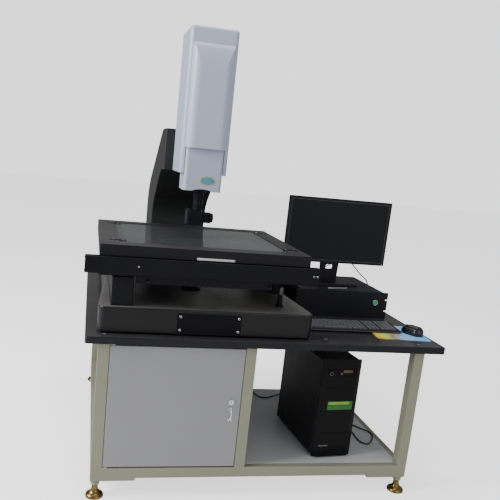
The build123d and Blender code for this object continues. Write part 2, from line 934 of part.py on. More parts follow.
def make_y_drive():
    pieces = []
    half = y_motor_side / 2
    my1 = y_motor_face
    my0 = my1 - y_motor_length
    motor = block(y_screw_x - half, y_screw_x + half, my0, my1, y_screw_z - half, y_screw_z + half)
    motor = chamfer(motor.edges().filter_by(Axis.Y), motor_chamfer)
    motor += block(y_screw_x - half, y_screw_x + half, my0, my0 + y_motor_foot, deck, y_screw_z)
    pieces.append(motor)
    for y in (y_bearing_front, y_bearing_back):
        housing = block(y_screw_x - bearing_width / 2, y_screw_x + bearing_width / 2, y, y + bearing_thickness,
                        deck, deck + bearing_height)
        housing = chamfer(housing.edges().filter_by(Axis.Y).sort_by(Axis.Z)[-2:], bearing_chamfer)
        housing -= rod_y(y_screw_radius + screw_clearance, y_screw_x, y - 1, y + bearing_thickness + 1, y_screw_z)
        pieces.append(housing)
    save("y_drive", *pieces)


def make_y_screw():
    save("y_screw", rod_y(y_screw_radius, y_screw_x, y_motor_face + slide_clearance, beam_back, y_screw_z))


def make_saddle():
    x0 = base_x - saddle_width / 2
    plate = block(x0, x0 + saddle_width, saddle_front, saddle_back, saddle_bottom, saddle_top)
    plate = fillet(plate.edges().filter_by(Axis.Z), saddle_corner)
    half = saddle_window_width / 2
    reach = y_travel + saddle_window_margin
    plate -= block(optic_x - half, optic_x + half, optic_y - reach, optic_y + reach,
                   saddle_bottom - 1, saddle_top + 1)
    apron_front = saddle_front + apron_setback
    apron = block(optic_x - apron_width / 2, optic_x + apron_width / 2, apron_front, apron_front + apron_depth,
                  saddle_bottom - apron_height, saddle_bottom)
    bracket = block(x0 - saddle_bracket_reach, x0 + saddle_bracket_lap, saddle_front,
                    saddle_front + saddle_bracket_depth, saddle_bottom, saddle_top - saddle_bracket_drop)
    save("saddle", plate + apron + bracket)


def x_rail_ys():
    """Y places of the two X rails on the saddle."""
    return (saddle_front + x_rail_inset_front, saddle_back - x_rail_inset_back)


def make_x_rails():
    rails = []
    section = rail_profile(rail_width, rail_height)
    x0 = base_x - saddle_width / 2 + rail_end_margin
    for y in x_rail_ys():
        plane = Plane(origin=(x0, y, saddle_top), x_dir=(0, 1, 0), z_dir=(1, 0, 0))
        rails.append(extrude(plane * section, saddle_width - 2 * rail_end_margin))
    save("x_rails", *rails)


def make_x_carriages():
    pieces = []
    one = carriage_block(block_length, block_width, block_height, block_floor_gap, rail_width, rail_height)
    riser_low = saddle_top + block_floor_gap + block_height
    for x in (base_x - x_block_pitch / 2, base_x + x_block_pitch / 2):
        for y in x_rail_ys():
            carriage = Pos(x, y, saddle_top) * Rot(0, 0, 90) * one
            riser = block(x - block_length / 2, x + block_length / 2, y - block_width / 2, y + block_width / 2,
                          riser_low, stage_bottom)
            pieces.append(carriage + riser)
    half = x_nut_length / 2
    nut = rod_x(x_nut_radius, optic_x - half, optic_x + half, x_screw_y, x_screw_z)
    arm_half = x_arm_width / 2
    arm_z = x_screw_z + x_nut_radius - x_arm_lap
    arm_back = saddle_front + x_arm_behind
    nut += block(optic_x - arm_half, optic_x + arm_half, x_screw_y - x_arm_front_lap, arm_back, arm_z,
                 arm_z + x_arm_thickness)
    nut += block(optic_x - arm_half, optic_x + arm_half, arm_back - x_arm_rise_thickness, arm_back, arm_z,
                 stage_bottom)
    nut -= rod_x(x_screw_radius + screw_clearance, optic_x - arm_half - 1, optic_x + arm_half + 1,
                 x_screw_y, x_screw_z)
    pieces.append(nut)
    save("x_carriages", *pieces)


def make_drive_bar():
    """Drive bar screwed together from plates, with a slot along its back for the nut's arm."""
    w = bar_wall
    back_in = saddle_front - w
    inner_left = bar_left + bar_end_cap
    inner_right = bar_right - bar_end_cap
    slot_z = x_screw_z + x_nut_radius - x_arm_lap + x_arm_thickness / 2
    slot_low = slot_z - bar_slot_height / 2
    slot_high = slot_z + bar_slot_height / 2
    front = block(bar_left, bar_right, bar_front, bar_front + w, bar_bottom, bar_top)
    front = fillet(front.faces().sort_by(Axis.Y)[0].edges().filter_by(Axis.X), bar_edge_round)
    under = block(inner_left, inner_right, bar_front + w, back_in, bar_bottom, bar_bottom + w)
    over = block(inner_left, inner_right, bar_front + w, back_in, bar_top - w, bar_top)
    low_back = block(inner_left, inner_right, back_in, saddle_front, bar_bottom, slot_low)
    high_back = block(inner_left, inner_right, back_in, saddle_front, slot_high, bar_top)
    pieces = [front, under, over, low_back, high_back]
    reach = x_travel + x_arm_width / 2 + x_arm_clearance
    for x0, x1 in ((inner_left, optic_x - reach), (optic_x + reach, inner_right)):
        pieces.append(block(x0, x1, back_in, saddle_front, slot_low, slot_high))
    for x0, x1 in ((bar_left, inner_left), (inner_right, bar_right)):
        pieces.append(block(x0, x1, bar_front + w, saddle_front, bar_bottom, bar_top))
    pieces.append(rod_x(bar_stop_radius, bar_left, bar_left + bar_stop_length, bar_front - bar_stop_radius,
                        bar_bottom + bar_height * bar_stop_up))
    for along in bar_screws_from_left:
        x = bar_left + along
        pieces.append(rod_y(bar_screw_radius, x, bar_front - bar_screw_head, bar_front, bar_bottom + bar_height / 2))
    save("drive_bar", *pieces)


x_bearing_left = bar_left + bar_end_cap + x_bearing_gap
x_motor_left = bar_right - bar_end_cap - x_motor_length
x_bearing_right = x_motor_left - x_bearing_thickness - x_motor_gap


def make_x_drive():
    w = bar_wall
    pieces = []
    for x in (x_bearing_left, x_bearing_right):
        plate = block(x, x + x_bearing_thickness, bar_front + w, saddle_front - w, bar_bottom + w, bar_top - w)
        plate -= rod_x(x_screw_radius + screw_clearance, x - 1, x + x_bearing_thickness + 1, x_screw_y, x_screw_z)
        pieces.append(plate)
    motor = rod_x(x_motor_radius, x_motor_left, bar_right - bar_end_cap, x_screw_y, x_screw_z)
    pieces.append(motor)
    save("x_drive", *pieces)


def make_x_screw():
    save("x_screw", rod_x(x_screw_radius, x_bearing_left, x_motor_left - slide_clearance, x_screw_y, x_screw_z))


def make_stage():
    x0 = optic_x - stage_width / 2
    frame = block(x0, x0 + stage_width, stage_front, stage_back, stage_bottom, stage_top)
    frame = fillet(frame.edges().filter_by(Axis.Z), stage_corner_radius)
    frame = fillet(frame.faces().sort_by(Axis.Z)[-1].edges(), stage_edge_round)
    gx = glass_width / 2 + glass_clearance
    gy = glass_depth / 2 + glass_clearance
    frame -= block(optic_x - gx, optic_x + gx, stage_y - gy, stage_y + gy, glass_bottom, stage_top + 1)
    wx = window_width / 2
    wy = window_depth / 2
    opening = block(optic_x - wx, optic_x + wx, stage_y - wy, stage_y + wy, stage_bottom - 1, stage_top)
    frame -= fillet(opening.edges().filter_by(Axis.Z), window_corner)
    save("stage_frame", frame)
    glass = block(optic_x - glass_width / 2, optic_x + glass_width / 2, stage_y - glass_depth / 2,
                  stage_y + glass_depth / 2, glass_bottom, glass_top)
    save("stage_glass", chamfer(glass.edges().filter_by(Axis.Z), glass_corner))


def make_contour_light():
    top = glass_bottom - light_top_gap
    neck_top = top - light_head_height
    post = rod_z(light_post_radius, optic_x, optic_y, deck, neck_top)
    post += rod_z(light_head_radius, optic_x, optic_y, deck, deck + light_flange)
    head = fillet(rod_z(light_head_radius, optic_x, optic_y, neck_top, top).edges(), light_head_round)
    lens = rod_z(light_lens_radius, optic_x, optic_y, top - light_lens_depth, top + 1)
    save("contour_light", post + (head - lens))


def column_face(shrink=0.0):
    """Side outline of the gooseneck column in the YZ plane, from the deck up."""
    back = column_front + column_thickness
    neck = column_front - arm_slope_start
    points = [(column_front, deck), (column_front, deck + neck_start), (neck, arm_bottom),
              (arm_front, arm_bottom + arm_rise), (arm_front, arm_top), (arm_front + back_slope_start, arm_top),
              (back, deck + back_slope_end), (back, deck)]
    radii = {1: throat_low_round, 2: throat_high_round, 5: crown_round, 6: back_round}
    outline = Polyline(*points, close=True)
    face = make_face(Plane.YZ * outline)
    for index, radius in radii.items():
        y, z = points[index]
        corner = face.vertices().sort_by_distance((0, y, z))[0]
        face = fillet(corner, radius)
    return face if shrink == 0 else offset(face, -shrink, kind=Kind.INTERSECTION)


def make_column():
    solid = extrude(column_face(), column_width / 2, both=True)
    side_rims = solid.faces().filter_by(Axis.X).edges().filter_by(lambda e: e.center().Z > deck + 1)
    solid = fillet(side_rims, column_rim)
    hollow = extrude(column_face(column_wall), column_width / 2 - column_wall, both=True)
    back = column_front + column_thickness
    mouth = block(-column_width / 2 + column_wall, column_width / 2 - column_wall, column_front + column_wall,
                  back - column_wall, deck - 1, deck + column_wall + 1)
    save("column", Pos(optic_x, 0, 0) * (solid - hollow - mouth))


def make_head_housing():
    half = head_width / 2
    w = head_wall
    body = block(-half, half, head_front, head_back, head_bottom, head_top)
    body = fillet(body.edges().filter_by(Axis.Z), head_round)
    body = fillet(body.faces().sort_by(Axis.Z)[-1].edges(), head_top_round)
    inner = block(-half + w, half - w, head_front + w, head_back - w, head_bottom - 1, head_top - w)
    body -= fillet(inner.edges().filter_by(Axis.Z), head_round - w)
    mouth = cover_width / 2 - head_mouth_margin
    body -= block(-mouth, mouth, head_front - 1, head_front + w + 1, head_bottom - 1, cover_top - head_mouth_margin)
    save("head_housing", Pos(optic_x, 0, 0) * body)


def cover_form(shrink, lower):
    """Pillow form of the head's front cover: three crossed sections, each inside the outside by the shrink."""
    half = cover_width / 2 - shrink
    deep = cover_depth - shrink
    top = cover_top - shrink
    wide = cover_side_bevel - shrink
    tall = cover_top_bevel - shrink
    flat_x = half - wide
    flat_z = top - tall
    rise = top - lower
    plan = (Line((-half, 0), (half, 0))
            + EllipticalCenterArc((flat_x, 0), wide, deep, 270, arc_size=90)
            + Line((flat_x, -deep), (-flat_x, -deep))
            + EllipticalCenterArc((-flat_x, 0), wide, deep, 180, arc_size=90))
    upright = Pos(0, 0, lower) * extrude(make_face(plan.edges()), rise)
    side = (Line((0, lower), (0, top))
            + EllipticalCenterArc((0, flat_z), deep, tall, 90, arc_size=90)
            + Line((-deep, flat_z), (-deep, lower))
            + Line((-deep, lower), (0, lower)))
    across = extrude(Plane.YZ * make_face(side.edges()), half + 1, both=True)
    outline = block(-half, half, -deep, 0, lower, top)
    outline = fillet(outline.edges().filter_by(Axis.Y).sort_by(Axis.Z)[-2:], cover_corner - shrink)
    return Pos(optic_x, head_front, 0) * (upright & across & outline)


def make_head_cover():
    save("head_front_cover", cover_form(0.0, cover_bottom) - cover_form(cover_wall, cover_bottom - 1))


def make_z_guide():
    plate = block(-z_plate_width / 2, z_plate_width / 2, z_plate_front, z_plate_back, z_plate_bottom, z_plate_top)
    pieces = [Pos(optic_x, 0, 0) * plate]
    half = z_rail_size / 2
    for side in (-1, 1):
        x = optic_x + side * z_rail_pitch / 2
        pieces.append(block(x - half, x + half, z_rail_front, z_plate_front, z_plate_bottom + z_rail_margin,
                            z_plate_top - z_rail_margin))
    save("z_guide", *pieces)


z_bearing_low = z_plate_bottom + z_rail_margin
z_bearing_high = z_plate_top - z_bearing_height
z_motor_bottom = z_plate_top + z_motor_gap


def make_z_drive():
    pieces = []
    half = z_bearing_width / 2
    for z in (z_bearing_low, z_bearing_high):
        housing = block(optic_x - half, optic_x + half, z_plate_front - z_bearing_depth, z_plate_front, z,
                        z + z_bearing_height)
        housing -= rod_z(z_screw_radius + screw_clearance, optic_x, z_screw_y, z - 1, z + z_bearing_height + 1)
        pieces.append(housing)
    side = z_motor_side / 2
    motor = block(optic_x - side, optic_x + side, z_screw_y - side, z_screw_y + side, z_motor_bottom,
                  z_motor_bottom + z_motor_length)
    motor = chamfer(motor.edges().filter_by(Axis.Z), motor_chamfer)
    foot = block(optic_x - side, optic_x + side, z_plate_front, z_plate_back, z_plate_top, z_motor_bottom)
    pieces.append(motor + foot)
    save("z_drive", *pieces)


def make_z_screw():
    save("z_screw", rod_z(z_screw_radius, optic_x, z_screw_y, z_bearing_low, z_motor_bottom - slide_clearance))


def make_z_carriage():
    half = z_carriage_width / 2
    front = z_carriage_back - z_carriage_thickness
    z0 = z_carriage_bottom
    z1 = z0 + z_carriage_height
    clamp_z = z0 - z_carriage_drop
    body = block(optic_x - half, optic_x + half, front, z_carriage_back, clamp_z, z1)
    groove = z_rail_size / 2 + slide_clearance
    for side in (-1, 1):
        x = optic_x + side * z_rail_pitch / 2
        shoe_back = z_carriage_back + z_block_depth
        for z in (z0, z1 - z_block_length):
            shoe = block(x - z_block_width / 2, x + z_block_width / 2, z_carriage_back, shoe_back, z,
                         z + z_block_length)
            body += shoe
        body -= block(x - groove, x + groove, z_rail_front - slide_clearance, shoe_back + 1, z0 - 1, z1 + 1)
    nut_z = (z0 + z1) / 2
    nut_half = z_nut_width / 2
    nut_back = z_screw_y + z_nut_behind_screw
    body += block(optic_x - nut_half, optic_x + nut_half, z_carriage_back, nut_back, nut_z - z_nut_length / 2,
                  nut_z + z_nut_length / 2)
    body -= rod_z(z_screw_radius + screw_clearance, optic_x, z_screw_y, nut_z - z_nut_length, nut_z + z_nut_length)
    arm = clamp_arm_width / 2
    stay = shroud_width / 2 - shroud_wall
    body += block(optic_x - stay, optic_x + stay, shroud_back - shroud_stay_thickness, shroud_back, clamp_z,
                  clamp_z + clamp_height)
    body += block(optic_x - arm, optic_x + arm, optic_y, front, clamp_z, clamp_z + clamp_height)
    body += rod_z(clamp_radius, optic_x, optic_y, clamp_z, clamp_z + clamp_height)
    body -= rod_z(lens_radius, optic_x, optic_y, clamp_z - 1, clamp_z + clamp_height + 1)
    save("z_carriage", body)


shroud_front = head_front - shroud_before_head
shroud_back = head_front + shroud_reach_back
shroud_bottom = head_bottom - shroud_drop
shroud_top = shroud_bottom + shroud_height


def make_z_shroud():
    half = shroud_width / 2
    w = shroud_wall
    body = block(-half, half, shroud_front, shroud_back, shroud_bottom, shroud_top)
    body = fillet(body.edges().filter_by(Axis.Z).sort_by(Axis.Y)[:2], shroud_round)
    inner = block(-half + w, half - w, shroud_front + w, shroud_back + 1, shroud_bottom - 1, shroud_top + 1)
    body -= fillet(inner.edges().filter_by(Axis.Z).sort_by(Axis.Y)[:2], shroud_round - w)
    chord = shroud_arch_width / 2
    rise = shroud_arch_height
    arch_radius = (chord * chord + rise * rise) / (2 * rise)
    arch = rod_y(arch_radius, 0, shroud_front - 1, shroud_front + shroud_round + 1,
                 shroud_bottom + rise - arch_radius)
    body -= arch
    save("moving_cover", Pos(optic_x, 0, 0) * body)


def make_optics():
    top = lens_bottom + lens_length
    nose_top = lens_bottom + lens_nose_length
    tube_body = rod_z(lens_radius, optic_x, optic_y, nose_top, top)
    nose = rod_z(lens_nose_radius, optic_x, optic_y, lens_bottom + lens_nose_setback, nose_top)
    knurl = rod_z(lens_knurl_radius, optic_x, optic_y, nose_top, nose_top + lens_knurl_length)
    zoom = tube_body + nose + fillet(knurl.edges(), 1)
    half = camera_side / 2
    camera = block(optic_x - half, optic_x + half, optic_y - half, optic_y + half, top, top + camera_height)
    camera = fillet(camera.edges().filter_by(Axis.Z), camera_corner)
    save("zoom_lens", zoom, camera)


def make_ring_light():
    x = optic_x + light_housing_offset
    half = light_housing_side / 2
    body = block(x - half, x + half, optic_y - half, optic_y + half, lens_bottom,
                 lens_bottom + light_housing_height)
    body = fillet(body.edges().filter_by(Axis.Z), light_housing_round)
    body = fillet(body.faces().sort_by(Axis.Z)[-1].edges(), light_housing_rim)
    body -= rod_z(lens_nose_radius, optic_x, optic_y, lens_bottom - 1, lens_bottom + light_housing_height + 1)
    cone = Cone(lens_nose_radius + light_cone_spread, lens_nose_radius, light_cone_height)
    cone = Pos(optic_x, optic_y, lens_bottom + light_cone_height / 2) * cone
    save("ring_light", body - cone, side_light())


def side_light():
    """Coaxial light on the right of the ring light."""
    x0 = optic_x + light_housing_offset + light_housing_side / 2
    x1 = x0 + side_light_length
    y = side_light_depth / 2
    z0 = lens_bottom + side_light_up
    z1 = z0 + side_light_height
    cap_x = x1 - side_light_cap
    body = block(x0, cap_x, optic_y - y, optic_y + y, z0, z1)
    body = fillet(body.edges().filter_by(Axis.X), side_light_corner)
    cap = rod_x(side_light_height / 2 - side_light_cap_inset, cap_x, x1, optic_y, (z0 + z1) / 2)
    return body + fillet(cap.faces().sort_by(Axis.X)[-1].edges(), side_light_cap_inset)


controller_x = bench_left + controller_from_left
controller_face = bench_front + controller_front
controller_back = controller_face + controller_panel_thickness + controller_case_depth
controller_top = bench_height + controller_panel_height
case_bottom = bench_height + controller_foot_height
case_top = case_bottom + controller_case_height
button_x = controller_x + controller_panel_width / 2 - button_from_right
button_z = bench_height + button_up


def make_controller():
    half = controller_case_width / 2
    y0 = controller_face + controller_panel_thickness
    case = block(controller_x - half, controller_x + half, y0, controller_back, case_bottom, case_top)
    case = fillet(case.edges().filter_by(Axis.Y).sort_by(Axis.Z)[-2:], controller_edge)
    case -= rod_y(button_ring_radius, button_x, y0 - 1, y0 + button_cup_depth + button_well_behind, button_z)
    for x, up in ((power_socket_from_left, power_socket_up), (signal_socket_from_left, signal_socket_up)):
        case += rod_y(relief_radius, bench_left + x, controller_back, controller_back + relief_length,
                      bench_height + up)
    feet = []
    inset = controller_foot_inset
    for x in (controller_x - half + inset, controller_x + half - inset):
        for y in (y0 + inset, controller_back - inset):
            feet.append(rod_z(controller_foot_radius, x, y, bench_height, case_bottom))
    save("controller_case", case, *feet)


def make_controller_panel():
    half = controller_panel_width / 2
    y0 = controller_face
    y1 = y0 + controller_panel_thickness
    panel = block(controller_x - half, controller_x + half, y0, y1, bench_height + panel_gap,
                  controller_top)
    panel = fillet(panel.edges().filter_by(Axis.Y), controller_edge)
    mid_z = (bench_height + controller_top) / 2
    for side in (-1, 1):
        edge = controller_x + side * half
        for up in (-1, 1):
            z = mid_z + up * ear_slot_pitch / 2
            inner = edge - side * (ear_slot_inset + ear_slot_width / 2)
            x0, x1 = sorted((edge + side * 1, inner))
            panel -= block(x0, x1, y0 - 1, y1 + 1, z - ear_slot_height / 2, z + ear_slot_height / 2)
    ring_y = y0 - button_ring_thickness
    panel += rod_y(button_ring_radius, button_x, ring_y, y0, button_z)
    cup_floor = y1 + button_cup_depth - button_cup_wall
    panel += rod_y(button_ring_radius - button_rim, button_x, y1, y1 + button_cup_depth, button_z)
    panel -= rod_y(button_radius + button_clearance, button_x, ring_y - 1, cup_floor, button_z)
    save("controller_panel", panel)


def make_controller_button():
    y0 = controller_face - button_height
    cup_floor = controller_face + controller_panel_thickness + button_cup_depth - button_cup_wall
    cap = rod_y(button_radius, button_x, y0, cup_floor - button_stroke - slide_clearance, button_z)
    save("controller_button", fillet(cap.faces().sort_by(Axis.Y)[0].edges(), button_rim))


monitor_x = bench_left + monitor_from_left
monitor_face = bench_front + monitor_front
stand_bottom = case_top
monitor_bottom = stand_bottom + monitor_bottom_above_base
monitor_top = monitor_bottom + monitor_height
hinge_y = monitor_face + monitor_thickness + monitor_back_depth + hinge_radius + hinge_behind_bulge
hinge_z = monitor_bottom + monitor_height * monitor_hinge_share
neck_y = hinge_y


def make_stand_base():
    y0 = bench_front + stand_base_front
    half = stand_base_width / 2
    body = block(monitor_x - half, monitor_x + half, y0, y0 + stand_base_depth, stand_bottom,
                 stand_bottom + stand_base_thickness)
    body = fillet(body.edges().filter_by(Axis.Z), stand_base_corner)
    body = fillet(body.faces().sort_by(Axis.Z)[-1].edges(), stand_base_rim)
    save("monitor_base", body)


def make_neck():
    """Neck that widens from its foot up to the two hinge ears."""
    z0 = stand_bottom + stand_base_thickness
    z1 = hinge_z - hinge_radius * 2
    half = neck_width / 2
    foot_half = neck_foot_width / 2
    t = neck_thickness / 2
    outline = Polygon((-foot_half, z0), (foot_half, z0), (half, z1), (-half, z1), align=None)
    neck = Pos(monitor_x, neck_y, 0) * extrude(Plane.XZ * outline, t, both=True)
    neck = fillet(neck.faces().filter_by(Axis.Z, reverse=True).edges().filter_by(
        lambda e: abs((e @ 1 - e @ 0).Z) > 1), neck_corner)
    hole_z = z0 + neck_hole_height * neck_hole_up
    hole = block(monitor_x - neck_hole_width / 2, monitor_x + neck_hole_width / 2, neck_y - t - 1, neck_y + t + 1,
                 hole_z - neck_hole_height / 2, hole_z + neck_hole_height / 2)
    neck -= fillet(hole.edges().filter_by(Axis.Y), neck_hole_round)
    ear = hinge_ear / 2
    for side in (-1, 1):
        x = monitor_x + side * (half - ear)
        neck += block(x - ear, x + ear, neck_y - t, neck_y + t, z1, hinge_z)
        neck += rod_x(hinge_radius, x - ear, x + ear, neck_y, hinge_z)
        neck -= rod_x(hinge_pin_radius + screw_clearance, x - ear - 1, x + ear + 1, neck_y, hinge_z)
    save("monitor_neck", neck)


def make_monitor_housing():
    half = monitor_width / 2
    y1 = monitor_face + monitor_thickness
    panel = block(monitor_x - half, monitor_x + half, monitor_face, y1, monitor_bottom, monitor_top)
    panel = fillet(panel.edges().filter_by(Axis.Y), monitor_corner)
    panel = fillet(panel.faces().sort_by(Axis.Y)[-1].edges(), monitor_back_edge)
    recess_x = half - monitor_bezel
    panel -= block(monitor_x - recess_x, monitor_x + recess_x, monitor_face - 1,
                   monitor_face + monitor_screen_depth + monitor_screen_recess,
                   monitor_bottom + monitor_bezel, monitor_top - monitor_bezel)
    bulge_half = monitor_back_width / 2
    mid = (monitor_bottom + monitor_top) / 2
    low = mid - monitor_back_height / 2
    high = mid + monitor_back_height / 2
    bulge = block(monitor_x - bulge_half, monitor_x + bulge_half, y1 - 1, y1 + monitor_back_depth, low, high)
    bulge = fillet(bulge.edges().filter_by(Axis.Y), monitor_bulge_corner)
    bulge = fillet(bulge.faces().sort_by(Axis.Y)[-1].edges(), monitor_bulge_edge)
    body = panel + bulge
    tongue_half = neck_width / 2 - hinge_ear - slide_clearance
    tongue = rod_x(hinge_radius, monitor_x - tongue_half, monitor_x + tongue_half, hinge_y, hinge_z)
    tongue += block(monitor_x - tongue_half, monitor_x + tongue_half, y1 + monitor_back_depth - 1, hinge_y,
                    hinge_z - hinge_radius * tongue_share, hinge_z + hinge_radius * tongue_share)
    pin = rod_x(hinge_pin_radius, monitor_x - neck_width / 2, monitor_x + neck_width / 2, hinge_y, hinge_z)
    for x in (monitor_x + power_relief_from_middle, monitor_x + signal_relief_from_middle):
        body += rod_y(relief_radius, x, y1 + monitor_back_depth - 1, hinge_y, hinge_z)
        body += Pos(x, hinge_y, hinge_z) * Sphere(relief_radius)
    save("monitor_housing", body + tongue + pin)


def make_monitor_screen():
    half = monitor_width / 2 - monitor_bezel
    y1 = monitor_face + monitor_screen_depth + monitor_screen_recess
    save("monitor_screen", block(monitor_x - half, monitor_x + half, y1 - monitor_screen_depth, y1,
                                 monitor_bottom + monitor_bezel, monitor_top - monitor_bezel))


keyboard_x = bench_left + keyboard_from_left
keyboard_y = bench_front + keyboard_front
keyboard_base_z = bench_height + keyboard_lift


def make_keyboard():
    half = keyboard_width / 2
    side = Polygon((0, 0), (keyboard_depth, 0), (keyboard_depth, keyboard_back_height),
                   (0, keyboard_front_height), align=None)
    body = extrude(Plane.YZ * side, half, both=True)
    body = fillet(body.edges().filter_by(Axis.X).sort_by(Axis.Z)[-2:], keyboard_edge)
    slope = (keyboard_back_height - keyboard_front_height) / keyboard_depth
    place = Pos(keyboard_x, keyboard_y, keyboard_base_z)
    margin = keyboard_margin
    over = keyboard_back_height + key_height
    well_low = keyboard_front_height + slope * margin - key_well_depth
    well = Polygon((margin, well_low), (keyboard_depth - margin, well_low + slope * (keyboard_depth - 2 * margin)),
                   (keyboard_depth - margin, over), (margin, over),
                   align=None)
    body -= extrude(Plane.YZ * well, half - margin, both=True)
    feet = []
    reach = half - keyboard_foot_inset_x
    wide = keyboard_foot_width / 2
    deep = keyboard_foot_depth / 2
    for x, low in ((keyboard_x - reach, bench_height), (keyboard_x + reach, bench_height + pad_thickness)):
        for y in (keyboard_y + keyboard_foot_inset_y, keyboard_y + keyboard_depth - keyboard_foot_inset_y):
            feet.append(block(x - wide, x + wide, y - deep, y + deep, low, keyboard_base_z))
    save("keyboard_case", place * body, *feet)


key_rows = 6
key_groups = ((0.0, 15), (15.35, 3), (18.7, 4))
key_units = 22.7
bottom_row = (1.25, 1.25, 1.25, 6.25, 1.25, 1.25, 1.25, 1.25)
shift_row = (2.25,) + (1.0,) * 10 + (2.75,)


def key_widths(row, start, count):
    """Widths of the keys of one group in one row, in key units."""
    if start == 0 and row == 0:
        return bottom_row
    if start == 0 and row == 1:
        return shift_row
    return (1.0,) * count


def make_keys():
    half = keyboard_width / 2 - key_field_margin
    base = keyboard_front_height - key_well_depth
    gap = key_pitch - key_size
    unit = 2 * half / key_units
    keys = []
    for row in range(key_rows):
        y = key_field_front + row * key_row_pitch
        for start, count in key_groups:
            at = start
            for width in key_widths(row, start, count):
                x0 = -half + at * unit
                x1 = x0 + width * unit - gap
                keys.append(block(x0, x1, y, y + key_size, 0, key_height + key_well_depth))
                at += width
    tilt = degrees(atan2(keyboard_back_height - keyboard_front_height, keyboard_depth))
    place = Pos(keyboard_x, keyboard_y, keyboard_base_z + base) * Rot(tilt, 0, 0)
    save("keyboard_keys", *[place * key for key in keys])


def make_mouse_pad():
    pad = block(0, pad_width, 0, pad_depth, 0, pad_thickness)
    pad = fillet(pad.edges().filter_by(Axis.Z), pad_corner)
    place = Pos(bench_left + pad_corner_from_left, bench_front + pad_corner_front, bench_height)
    save("mouse_pad", place * Rot(0, 0, pad_turn) * pad)


mouse_place = (Pos(bench_left + mouse_from_left, bench_front + mouse_front, bench_height + pad_thickness)
               * Rot(0, 0, mouse_turn))


def mouse_body():
    """Whole mouse shape: a lofted shell, high behind the middle and low at the front."""
    l = mouse_length
    w = mouse_width
    sections = []
    for up, back, long, wide in mouse_sections:
        plane = Plane(origin=(0, -l * back, mouse_height * up))
        sections.append(plane * SlotOverall(l * long, w * wide, rotation=90))
    body = loft(sections, ruled=True)
    return fillet(body.edges().filter_by(lambda e: e.center().Z > mouse_height * 0.2), mouse_round)


def make_mouse():
    """Mouse in four pieces: shell, two buttons split down the middle, and the wheel in its well."""
    body = mouse_body()
    half = mouse_width
    high = mouse_height * 2
    shell = body - block(-half, half, button_split_y, mouse_length, button_split_z, high)
    lid = body & block(-half, half, button_split_y + button_back_gap, mouse_length,
                       button_split_z + button_travel_gap, high)
    post_in = wheel_width / 2 + wheel_side_gap
    post_out = post_in + wheel_post_thickness
    reach = wheel_post_half
    posts = block(-post_out, post_out, wheel_forward - reach, wheel_forward + reach, button_split_z,
                  wheel_up + reach)
    posts -= rod_x(wheel_axle_radius + screw_clearance, -post_out, post_out, wheel_forward, wheel_up)
    posts -= block(-post_in, post_in, wheel_forward - reach, wheel_forward + reach, button_split_z, high)
    save("mouse_shell", mouse_place * (shell + posts))
    slot_half = post_out + wheel_post_gap
    slot_long = wheel_radius + wheel_end_gap
    lid -= block(-slot_half, slot_half, wheel_forward - slot_long, wheel_forward + slot_long, button_split_z, high)
    left = lid & block(-half, -button_gap, -mouse_length, mouse_length, 0, high)
    right = lid & block(button_gap, half, -mouse_length, mouse_length, 0, high)
    save("mouse_left_button", mouse_place * left)
    save("mouse_right_button", mouse_place * right)
    wheel = fillet(rod_x(wheel_radius, -wheel_width / 2, wheel_width / 2, wheel_forward, wheel_up).edges(),
                   wheel_rim)
    axle = post_out - wheel_axle_end_gap
    wheel += rod_x(wheel_axle_radius, -axle, axle, wheel_forward, wheel_up)
    save("mouse_wheel", mouse_place * wheel)


shelf_top = rail_top + shelf_thickness
tower_place = (Pos(bench_left + tower_from_left, bench_front + tower_front, shelf_top) * Rot(0, 0, tower_turn))


tower_height = top_under - shelf_top - tower_foot_height - tower_headroom
tower_low = tower_foot_height - tower_edge_round
tower_high = tower_foot_height + tower_height + tower_edge_round
tower_button_up = tower_high - tower_button_below_top


def make_tower():
    half = tower_width / 2
    low = tower_foot_height
    side = half - tower_case_inset
    case = block(-side, side, tower_front_thickness, tower_depth, low, tower_high - tower_edge_round * 2)
    case = fillet(case.edges().filter_by(Axis.Y), tower_case_round)
    case += rod_y(relief_radius, tower_socket_from_middle, tower_depth, tower_depth + relief_length,
                  tower_socket_up)
    feet = []
    for x in (-half + tower_foot_inset_x, half - tower_foot_inset_x):
        for y in (tower_foot_inset_y, tower_depth - tower_foot_inset_y):
            feet.append(tower_place * rod_z(tower_foot_radius, x, y, 0, low))
    save("tower_case", tower_place * case, *feet)


def make_tower_front():
    """Front moulding with sloped sides, a drive door, a groove under it and the button's well."""
    half = tower_width / 2
    flat = half - tower_bevel
    plan = Polygon((-flat, 0), (flat, 0), (half, tower_bevel_depth), (half, tower_front_thickness),
                   (-half, tower_front_thickness), (-half, tower_bevel_depth), align=None)
    front = Pos(0, 0, tower_low) * extrude(plan, tower_high - tower_low)
    front = fillet(front.edges().filter_by(Axis.Z).sort_by(Axis.Y)[:4], tower_edge_round)
    bay = tower_bay_width / 2
    bay_top = tower_high - tower_bay_top
    groove = tower_groove
    deep = tower_groove_depth
    door = block(-bay, bay, -1, deep, bay_top - tower_bay_height, bay_top)
    front -= door - block(-bay + groove, bay - groove, -2, deep + 1, bay_top - tower_bay_height + groove,
                          bay_top - groove)
    line_z = tower_high - tower_groove_below_top
    front -= block(-bay, bay, -1, deep, line_z, line_z + groove)
    front -= rod_y(tower_button_radius + button_clearance, tower_button_from_middle, -1, tower_button_well,
                   tower_button_up)
    save("tower_front", tower_place * front)


def make_tower_button():
    back = tower_button_well - button_stroke - slide_clearance
    cap = rod_y(tower_button_radius, tower_button_from_middle, tower_button_sunk, back, tower_button_up)
    save("tower_button", tower_place * fillet(cap.faces().sort_by(Axis.Y)[0].edges(), 0.8))


